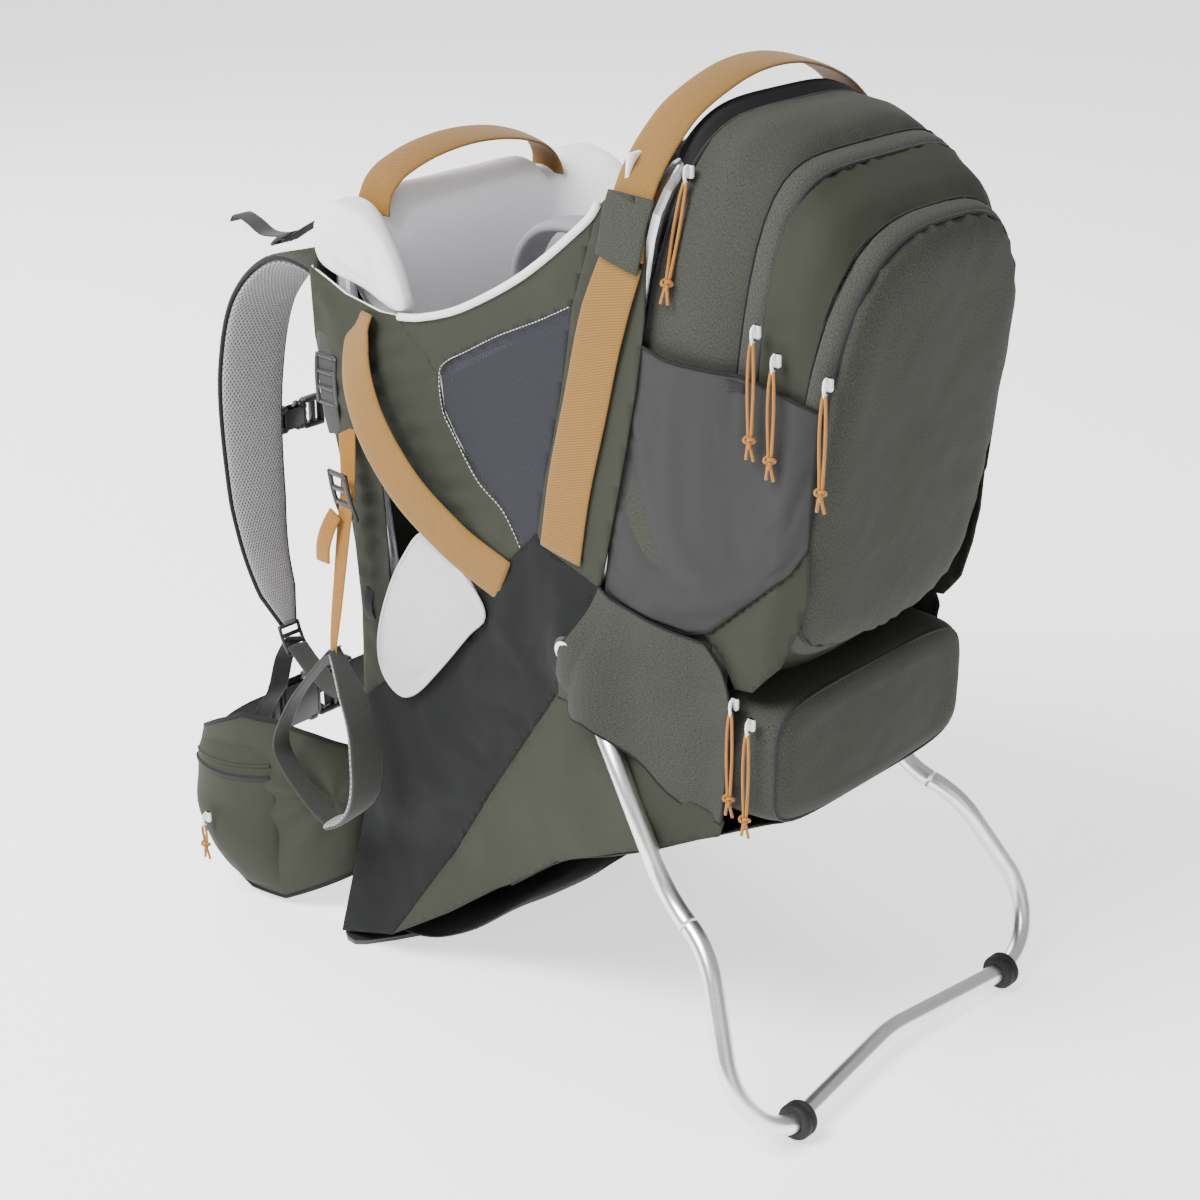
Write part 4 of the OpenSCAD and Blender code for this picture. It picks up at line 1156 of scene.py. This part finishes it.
def male_half(centre, size, x_tip):
    """Plug of a side-release buckle: two springs with barbs, and a slotted end."""
    w, d, h = size
    x, y, z = centre
    shells = []
    for s in (-1, 1):
        arm = [(x - w * 0.3, y, z + s * (h / 2 - 8)), (x - w / 2 - 3, y, z + s * (h / 2 - 7)),
               (x_tip + 5, y, z + s * (h / 2 - 3)), (x_tip, y, z + s * (h / 2 - 7))]
        shells.append(strap(smooth(arm, 5), 5, d * 0.5, (0, 0, 1), 12, 3))
        shells.append(block((x + w * 0.04, y, z + s * (h / 2 - 2.6)), (w * 0.94, d * 0.8, 5.2), edge=1.8))
    shells.append(strap([(x_tip + 3, y, z), (x - w * 0.3, y, z)], 5, d * 0.42, (0, 0, 1), 12, 3))
    for k in (-0.42, 0.02, 0.44):
        shells.append(block((x + w * k, y + (0 if k else 1.5), z), (4.4, d * 0.62, h - 2), edge=1.3))
    return joined(*shells)


for side, end in SIDES:
    locks = joined(ladder_lock(25, 27, (-102, 177, 224), axes((1, 0, 0), (0, 0.88, -0.46)), 3.4),
                   ladder_lock(25, 26, (-78, 180, 593), axes((1, 0, 0), (0, 0.5, 0.86)), 3.4))
    piece(f"strap_adjusters_{end}", locks, PLASTIC, side, "shoulder_harness", nodes=["strap_adjusters"])
    hook = smooth([(-78, 184, 594), (-79, 206, 592), (-80, 224, 600), (-81, 238, 604), (-81, 244, 598)], 6)
    piece(f"lifter_tail_{end}", strap(hook, 19, 2, (1, 0, 0)), GREY_WEB, side, "shoulder_harness")
    edge_lock = ladder_lock(26, 42, (-150.5, 57, 508), axes((0, 1, 0), (-1, 0, 0)), 3.6)
    piece(f"body_lock_{end}", edge_lock, PLASTIC, side)
    web = smooth([(-147.5, 60, 552), (-149.4, 58, 530), (-150.6, 57, 508), (-149.4, 55, 480),
                  (-147.5, 52, 462)], 6)
    piece(f"body_lock_web_{end}", strap(web, 19, 2, (0, 1, 0)), GREY_WEB, side)
    label = [(-149.2, 16, 334), (-152, 17, 324), (-152, 17, 314), (-149.2, 16, 305)]
    piece(f"blank_label_{end}", strap(smooth(label, 4), 10, 0.8, (0, 1, 0)), BLACK_CLOTH, side)

piece("sternum_socket", female_half((-35.5, 244, 404), (27, 11, 26)), PLASTIC, body="shoulder_harness",
      nodes=["sternum_buckle_female"])
piece("sternum_plug", male_half((-8.7, 244, 404), (25.4, 11, 30), -31), PLASTIC, body="sternum_clip",
      nodes=["sternum_buckle_male"])
piece("hip_socket", female_half((-36, 262, 108), (52, 14, 50)), PLASTIC, nodes=["hip_buckle_female"])
piece("hip_plug", male_half((14.3, 262, 108), (47.4, 14, 50), -22), PLASTIC, body="hip_clip",
      nodes=["hip_buckle_male"])
left_web = smooth([(-98, 238, 404), (-84, 243, 404), (-66, 244, 404), (-46, 244, 404)], 6)
right_web = smooth([(-2, 244, 404), (30, 245, 404), (66, 244, 404), (84, 243, 404), (98, 238, 404)], 6)
piece("sternum_web", joined(strap(left_web, 20, 2, (0, 0, 1)), strap(right_web, 20, 2, (0, 0, 1))), GREY_WEB,
      body="shoulder_harness", nodes=["sternum_webbing"])


# ---- Hip belt -------------------------------------------------------------

BELT_LEFT = [(-166, 232, 106), (-150, 244, 106), (-120, 257, 107), (-90, 262, 108), (-58, 262, 108)]
BELT_RIGHT = [(4, 262, 108), (60, 262, 108), (100, 261, 108), (124, 256, 107), (150, 244, 106),
              (166, 232, 106)]
piece("hip_belt_web", joined(strap(smooth(BELT_LEFT, 8), 38, 2.2, (0, 0, 1)),
                             strap(smooth(BELT_RIGHT, 8), 38, 2.2, (0, 0, 1))),
      BLACK_WEB, nodes=["hip_webbing"])

WING_PATH = [(-104, 50, 104), (-138, 56, 106), (-163, 84, 106), (-180, 126, 104), (-187, 170, 104),
             (-180, 212, 104), (-162, 236, 106), (-146, 246, 107)]
WING_LOW = [48, 44, 26, 8, 10, 30, 60, 88]
WING_HIGH = [160, 166, 178, 186, 184, 166, 146, 128]


def wing_surface(offset, low, high, start=0.0, end=1.0, count=(46, 110), lumps=1.0):
    """Rows over the hip wing's height; offset is how far it stands out from the wing's middle."""
    path = resample(smooth(WING_PATH, 10), 200)
    n = np.stack([-np.gradient(path[:, 1]), np.gradient(path[:, 0])], -1)
    n = unit(n)
    if n[100, 0] > 0:
        n = -n
    ts = np.linspace(start, end, count[1])
    rows = []
    for v in np.linspace(0, 1, count[0]):
        row = []
        for t in ts:
            k = t * 199
            x, y = [np.interp(k, range(200), path[:, i]) for i in (0, 1)]
            nx, ny = [np.interp(k, range(200), n[:, i]) for i in (0, 1)]
            lo, hi = [np.interp(t * 7, range(8), q) for q in (low, high)]
            z = lo + (hi - lo) * v
            along = (t - start) / (end - start)
            puff = math.sin(math.pi * v) ** 0.5 * min(1, math.sin(math.pi * min(max(along, 0.0), 1)) ** 0.4)
            o = offset(t, v) * puff + lumps * (2.0 * rough((t * 160, z, 0), 38, 23) * puff
                                               + 0.8 * rough((t * 160, z, 0), 15, 29) * puff)
            row.append((x + nx * o, y + ny * o, z))
        rows.append(row)
    return arr(rows)


def folds(t, v):
    """Folds that fan out from the wing's root."""
    a = math.atan2(v - 0.62, t - 0.22)
    return 2.2 * math.sin(a * 9) * math.exp(-((t - 0.36) / 0.2) ** 2)


outer_rows = wing_surface(lambda t, v: 9 + folds(t, v), WING_LOW, WING_HIGH)
inner_rows = wing_surface(lambda t, v: -8, WING_LOW, WING_HIGH)
pocket_rows_hip = wing_surface(lambda t, v: 20 + 2 * math.sin(v * 7), [28] * 3 + [14, 14, 30, 60, 88],
                               [150] * 3 + [164, 158, 150, 138, 120], 0.42, 0.86, (40, 60), 1.2)
EDGE = np.vstack([outer_rows[0], outer_rows[:, -1], outer_rows[-1][::-1]])
for side, end in SIDES:
    node = [f"hip_wing_{end}"]
    o = piece(f"hip_wing_cloth_{end}", grid(outer_rows), OLIVE, side, nodes=node)
    o = piece(f"hip_wing_lining_{end}", grid(inner_rows), MESH_PAD, side, nodes=node)
    piece(f"hip_wing_binding_{end}", rod(EDGE, 2.2, 8), DARKER, side)
    o = piece(f"hip_pocket_{end}", grid(pocket_rows_hip), OLIVE, side, nodes=node)
    declare_sheet(o)
    thicken(o, 1.5)
    line = pocket_rows_hip[31, 3:56]
    piece(f"hip_zip_{end}", rod(line + [-0.8, 0, 0], 1.9, 8), BLACK_CLOTH, side)
    flap = pocket_rows_hip[34, 3:56]
    piece(f"hip_zip_flap_{end}", rod(flap + [-0.6, 0, 0], 1.5, 8), OLIVE, side)


# ---- Handles and straps ---------------------------------------------------

FRONT_HANDLE = [(-103, 45, 640), (-101, 45, 652), (-93, 45, 664), (-76, 45, 674), (-42, 45, 683),
                (0, 45, 686.5)]
REAR_HANDLE = [(-149.8, -264, 668), (-148.5, -266, 692), (-137, -266, 718), (-124, -266, 735),
               (-108, -266, 750), (-88, -266, 764), (-60, -267, 776), (-30, -267, 784), (0, -267, 786.5)]


def whole(half):
    return np.vstack([half, mirror(half[:-1])[::-1]])


path = smooth(whole(FRONT_HANDLE), 8)
t = np.abs(np.linspace(-1, 1, len(path)))
piece("front_handle_web", strap(path, 34 + 4 * ramp(t, 0.7, 1), 3.4, (0, 1, 0.2), 20, 3, -0.8), TAN,
      nodes=["front_handle"])
path = smooth(whole(REAR_HANDLE), 8)
t = np.abs(np.linspace(-1, 1, len(path)))
piece("rear_handle_web", strap(path, 36 + 3 * ramp(t, 0.75, 1), 3.6, (0, 1, 0.1), 20, 3, -0.8), TAN,
      nodes=["rear_handle"])

FRONT_STRAP = [(-147, 12, 574), (-156, 13, 552), (-165, 4, 521), (-170, -18, 484), (-168, -52, 444),
               (-160, -88, 413), (-153, -112, 396), (-148.5, -140, 383)]
REAR_STRAP = [(-150.4, -265, 668), (-152, -246, 615), (-152.6, -230, 548), (-152.4, -214, 484),
              (-151.2, -203, 424)]
for side, end in SIDES:
    path = resample(smooth(FRONT_STRAP, 8), 60)
    piece(f"front_side_strap_{end}", strap(path, 41, 4.2, (0, 0.9, -1), 20, 2.8), TAN, side,
          nodes=["side_straps"])
    path = resample(smooth(REAR_STRAP, 8), 50)
    piece(f"rear_side_strap_{end}", strap(path, np.interp(range(50), [0, 10, 49], [38, 43, 42]), 3.2,
                                          (0, 1, 0.25), 20, 3), TAN, side, nodes=["side_straps"])
    tab = smooth([(-145, -268, 712), (-151.4, -267.5, 697), (-154.2, -266, 680), (-154.4, -262, 663)], 6)
    piece(f"handle_tab_{end}", strap(tab, 41, 3.6, (0, 1, 0.25), 16, 3), HEATHER, side)


# ---- Stirrups -------------------------------------------------------------

HANGER = [(-152, 34, 470), (-163, 22, 452), (-172, 14, 428), (-178, 14, 396), (-184, 16, 350),
          (-189, 20, 300), (-190, 20, 286)]
LOOP_FRONT = [(-190, 20, 290), (-191, 44, 262), (-192, 72, 226), (-193, 92, 184), (-193, 82, 160),
              (-192, 52, 134), (-191, 30, 122)]
LOOP_BACK = [(-190, 20, 290), (-189, 6, 262), (-188, -8, 226), (-188, -12, 190), (-188, -6, 156),
             (-189, 10, 134), (-191, 30, 122)]
for side, end in SIDES:
    body, node = f"stirrup_{end}", [f"stirrup_{end}"]
    path = resample(smooth(HANGER, 8), 50)
    width = np.interp(range(50), [0, 20, 40, 49], [19, 18, 13, 8])
    piece(f"stirrup_strap_{end}", strap(path, width, 1.8, (0.1, 1, 0), 16), OCHRE, side, body, nodes=node)
    tab = resample(smooth([(-179, 22, 408), (-184, 26, 396), (-187, 30, 380), (-188, 30, 366)], 6), 16)
    piece(f"stirrup_tab_{end}", strap(tab, 18, 2.6, (0.1, 1, 0), 16), OCHRE, side, body)
    lock = ladder_lock(25, 42, (-175.5, 16, 424), axes((0.1, 1, 0), (-1, 0.1, -0.25)))
    piece(f"stirrup_lock_{end}", lock, PLASTIC, side, body)
    front = resample(smooth(LOOP_FRONT, 8), 60)
    piece(f"stirrup_loop_front_{end}", strap(front, 19, 2.2, (1, 0, 0.1), 16), GREY_WEB, side, body,
          nodes=node)
    rear = resample(smooth(LOOP_BACK, 8), 60)
    wide = np.interp(range(60), [0, 12, 30, 50, 59], [12, 26, 36, 34, 26])
    o = piece(f"stirrup_pad_{end}", strap(rear + [0, 2.4, 0], wide - 3, 5.5, (1, 0, 0.1), 20, 2.6),
              MESH_PAD, side, body)
    piece(f"stirrup_back_{end}", strap(rear - [0, 1.2, 0], wide, 2.6, (1, 0, 0.1), 16), GREY_WEB, side, body)


# ---- Zip sliders and cord pulls -------------------------------------------

PULLS = {"main": (-121, -297, 721, 66), "mid_upper": (-138, -373, 624, 66),
         "mid_lower": (-135, -389, 606, 60), "front": (-124, -426, 594, 66),
         "lower_upper": (-135, -360, 334, 66), "lower_lower": (-135, -376, 322, 66),
         "hip_left": (-217.2, 178, 76, 14)}
CORD_R = 1.25
MAIN_TILT = 15          # degrees that the main pull leans outwards


def knot(at, size=3.0):
    """An overhand knot: the cord's way round a trefoil."""
    t = np.linspace(0, 2 * math.pi, 60, endpoint=False)
    x = size * (np.sin(t) + 1.5 * np.sin(2 * t)) * 0.55
    y = size * (np.cos(t) - 1.5 * np.cos(2 * t)) * 0.62
    z = size * (-np.sin(3 * t)) * 0.62
    return rod(arr(at) + np.stack([z, x, y], -1), CORD_R, 8, closed=True)


def slider(at):
    """A zip slider: its body, and the bail that the cord goes through."""
    x, y, z = at
    body = block((x + 4.4, y, z + 7), (4.2, 7, 10), edge=1.6)
    bail = smooth([(x + 2.6, y, z + 11), (x - 0.5, y, z + 10), (x - 1.2, y, z + 5), (x, y, z - 1.5),
                   (x + 1, y, z + 1)], 4)
    return joined(body, rod(bail, 1.3, 8))


def leaned(points, at, degrees):
    """Points turned about the Y line through at: their lower ends go outwards."""
    c, s = math.cos(math.radians(degrees)), math.sin(math.radians(degrees))
    p = arr(points) - arr(at)
    return np.stack([p[:, 0] * c + p[:, 2] * s, p[:, 1], p[:, 2] * c - p[:, 0] * s], -1) + arr(at)


for name, (x, y, z, drop) in PULLS.items():
    tilt = MAIN_TILT if name == "main" else 0
    sides_used = ((LEFT, "hip_left"), (RIGHT, "hip_right")) if name == "hip_left" else ((LEFT, name),)
    for side, label in sides_used:
        body, node = f"pull_{label}", [f"pull_{label}"]
        piece(f"slider_{label}", slider((x, y, z)), SLIDER, side, nodes=["zip_sliders"])
        low = z - drop - 4
        strands = []
        for s in (-1, 1):
            pts = [(x - 0.4, y + s * 1.0, z), (x - 0.8, y + s * 2.2, z - drop * 0.2),
                   (x - 0.6, y + s * 2.6, z - drop * 0.55), (x, y + s * 1.2, low),
                   (x - 0.4, y + s * 1.2, low - 5), (x + 0.8, y + s * 3.4, low - 16)]
            strands.append(leaned(smooth(pts, 6), (x, y, z), tilt))
        first = piece(f"cord_{label}", rod(strands[0], CORD_R, 8), CORD, side, body, nodes=node)
        second = piece(f"cord_return_{label}", rod(strands[1], CORD_R, 8), CORD, side, body)
        tied = leaned([(x - 0.3, y, low - 2)], (x, y, z), tilt)[0]
        tie = piece(f"cord_knot_{label}", knot(tied), CORD, side, body)


# ---- Seat and child harness -----------------------------------------------

SEAT = [(-178, 444), (-173, 380), (-158, 341), (-120, 320), (-60, 314), (-20, 324), (-4, 350)]
line = resample(smooth(SEAT, 8), 60)
rows = []
for x in np.linspace(-1, 1, 34):
    rows.append([(84 * x, y, z + 3 + 6 * abs(x) ** 3) for y, z in line])
seat = piece("seat_pad", grid(rows), FLEECE, body="seat", nodes=["seat_shell"])
thicken(seat, 9)

TONGUE = [(-57, 404), (-28, 373), (-8, 332), (2, 292), (-3, 264), (-22, 250), (-42, 258), (-71, 289),
          (-103, 328), (-122, 352), (-96, 380)]
tongue_line = resample(smooth(TONGUE, 6, True), 80, True)
CHANNELS = [((-40, 382), (-92, 322)), ((-54, 390), (-104, 338))]


def tongue_shell():
    """Padded wing: two puffed faces that meet in a piped edge, with sewn lines on them."""
    pts, faces = cut_panel(tongue_line, 4)
    d = edge_distance(pts, tongue_line)
    puff = 4.6 * (1 - np.exp(-(d / 9) ** 2))
    oval = arr([(-16, 345), (-32, 349), (-48, 336), (-58, 310), (-58, 286), (-42, 272), (-22, 264),
                (-8, 280), (-4, 300)])
    oval = resample(smooth(oval, 5, True), 60, True)
    cut = np.exp(-(edge_distance(pts, oval) / 2.6) ** 2) * 2.8
    for a, b in CHANNELS:
        cut += np.exp(-(edge_distance(pts, [a, b]) / 2.8) ** 2) * 2.6
    cut += 0.5 + 0.8 * np.sin((pts[:, 0] * 0.78 - pts[:, 1] * 0.62) / 4.2) * (pts[:, 1] > 345)
    puff = np.maximum(puff - cut, 0.1)
    lean = -152.5 - 3.5 * ramp(-pts[:, 1], -400, -260)
    outer = np.stack([lean - puff, pts[:, 0], pts[:, 1]], -1)
    inner = np.stack([lean + puff * 0.55, pts[:, 0], pts[:, 1]], -1)
    uv = [tuple(pts[i]) for f in faces for i in f]
    flip = [f[::-1] for f in faces]
    uv_back = [tuple(pts[i]) for f in flip for i in f]
    return joined((outer, faces, uv), (inner, flip, uv_back))


tongue = tongue_shell()
for side, end in SIDES:
    o = piece(f"thigh_wing_{end}", tongue, WING, side, "seat", nodes=["seat_thigh_wings"])
    rim_line = [(-152.5 - 3.5 * float(ramp(-z, -400, -260)), y, z) for y, z in tongue_line]
    piece(f"thigh_wing_piping_{end}", rod(rim_line, 1.5, 8, closed=True), WING, side, "seat")
    bridge = smooth([(-80, -60, 330), (-108, -58, 340), (-132, -56, 345), (-152, -54, 344)], 6)
    piece(f"thigh_bridge_{end}", strap(bridge, 44, 7, (0, 1, 0), 16, 2.6), FLEECE, side, "seat",
          nodes=["seat_thigh_wings"])

SHOULDERS = [(-48, -226, 604), (-50, -190, 636), (-50, -140, 650), (-50, -95, 640), (-48, -72, 600),
             (-40, -80, 530), (-28, -98, 470), (-20, -112, 450)]
for side, end in SIDES:
    line = resample(smooth(SHOULDERS, 8), 50)
    o = piece(f"child_shoulder_pad_{end}", pillow(line, [34] * 50, 11, (1, 0, 0), 0, 20), HARNESS, side,
              "seat", nodes=["child_harness"])
crotch = smooth([(0, -84, 330), (0, -92, 352), (0, -106, 384), (0, -111, 402)], 6)
piece("child_crotch_web", strap(crotch, 36, 3, (1, 0, 0)), HARNESS, body="seat", nodes=["child_harness"])


# ---- Stage ----------------------------------------------------------------

FLOOR_GLOW, SKY_GLOW = 1.3, 0.5
# Area lights: place in metres, power in watts, size in metres
LAMPS = {"key": ((-2.3, 0.4, 3.2), 290, 1.8), "fill": ((-1.6, -3.2, 1.5), 16, 2.6),
         "front": ((0.6, 2.6, 2.4), 80, 2.4)}


def stage():
    """A pale floor, three soft lights and an even sky."""
    bpy.ops.mesh.primitive_plane_add(size=14, location=(0, 0, -0.0006))
    floor = bpy.context.object
    floor.name = "floor"
    p = Paint("floor_paper", 0.75, specular=0.2)
    p.bsdf.inputs["Base Color"].default_value = (0.9, 0.9, 0.9, 1)
    p.bsdf.inputs["Emission Color"].default_value = (1, 1, 1, 1)
    p.bsdf.inputs["Emission Strength"].default_value = FLOOR_GLOW
    floor.data.materials.append(p.mat)
    for name, (spot, power, size) in LAMPS.items():
        lamp = bpy.data.lights.new(name, "AREA")
        lamp.energy, lamp.size = power, size
        o = bpy.data.objects.new(name, lamp)
        o.location = spot
        o.rotation_euler = (Vector((0, -0.1, 0.35)) - Vector(spot)).to_track_quat("-Z", "Y").to_euler()
        bpy.context.scene.collection.objects.link(o)
    world = bpy.data.worlds.new("studio")
    world.use_nodes = True
    world.node_tree.nodes["Background"].inputs["Color"].default_value = (1, 1, 1, 1)
    world.node_tree.nodes["Background"].inputs["Strength"].default_value = SKY_GLOW
    bpy.context.scene.world = world


def camera():
    data = bpy.data.cameras.new("view")
    data.lens, data.sensor_width = 69.1, 36
    o = bpy.data.objects.new("view", data)
    o.location = (-1.3445, -1.3147, 1.0895)
    o.rotation_euler = (math.radians(90 - 23.32), 0, math.radians(-48.10))
    bpy.context.scene.collection.objects.link(o)
    bpy.context.scene.camera = o


stage()
camera()
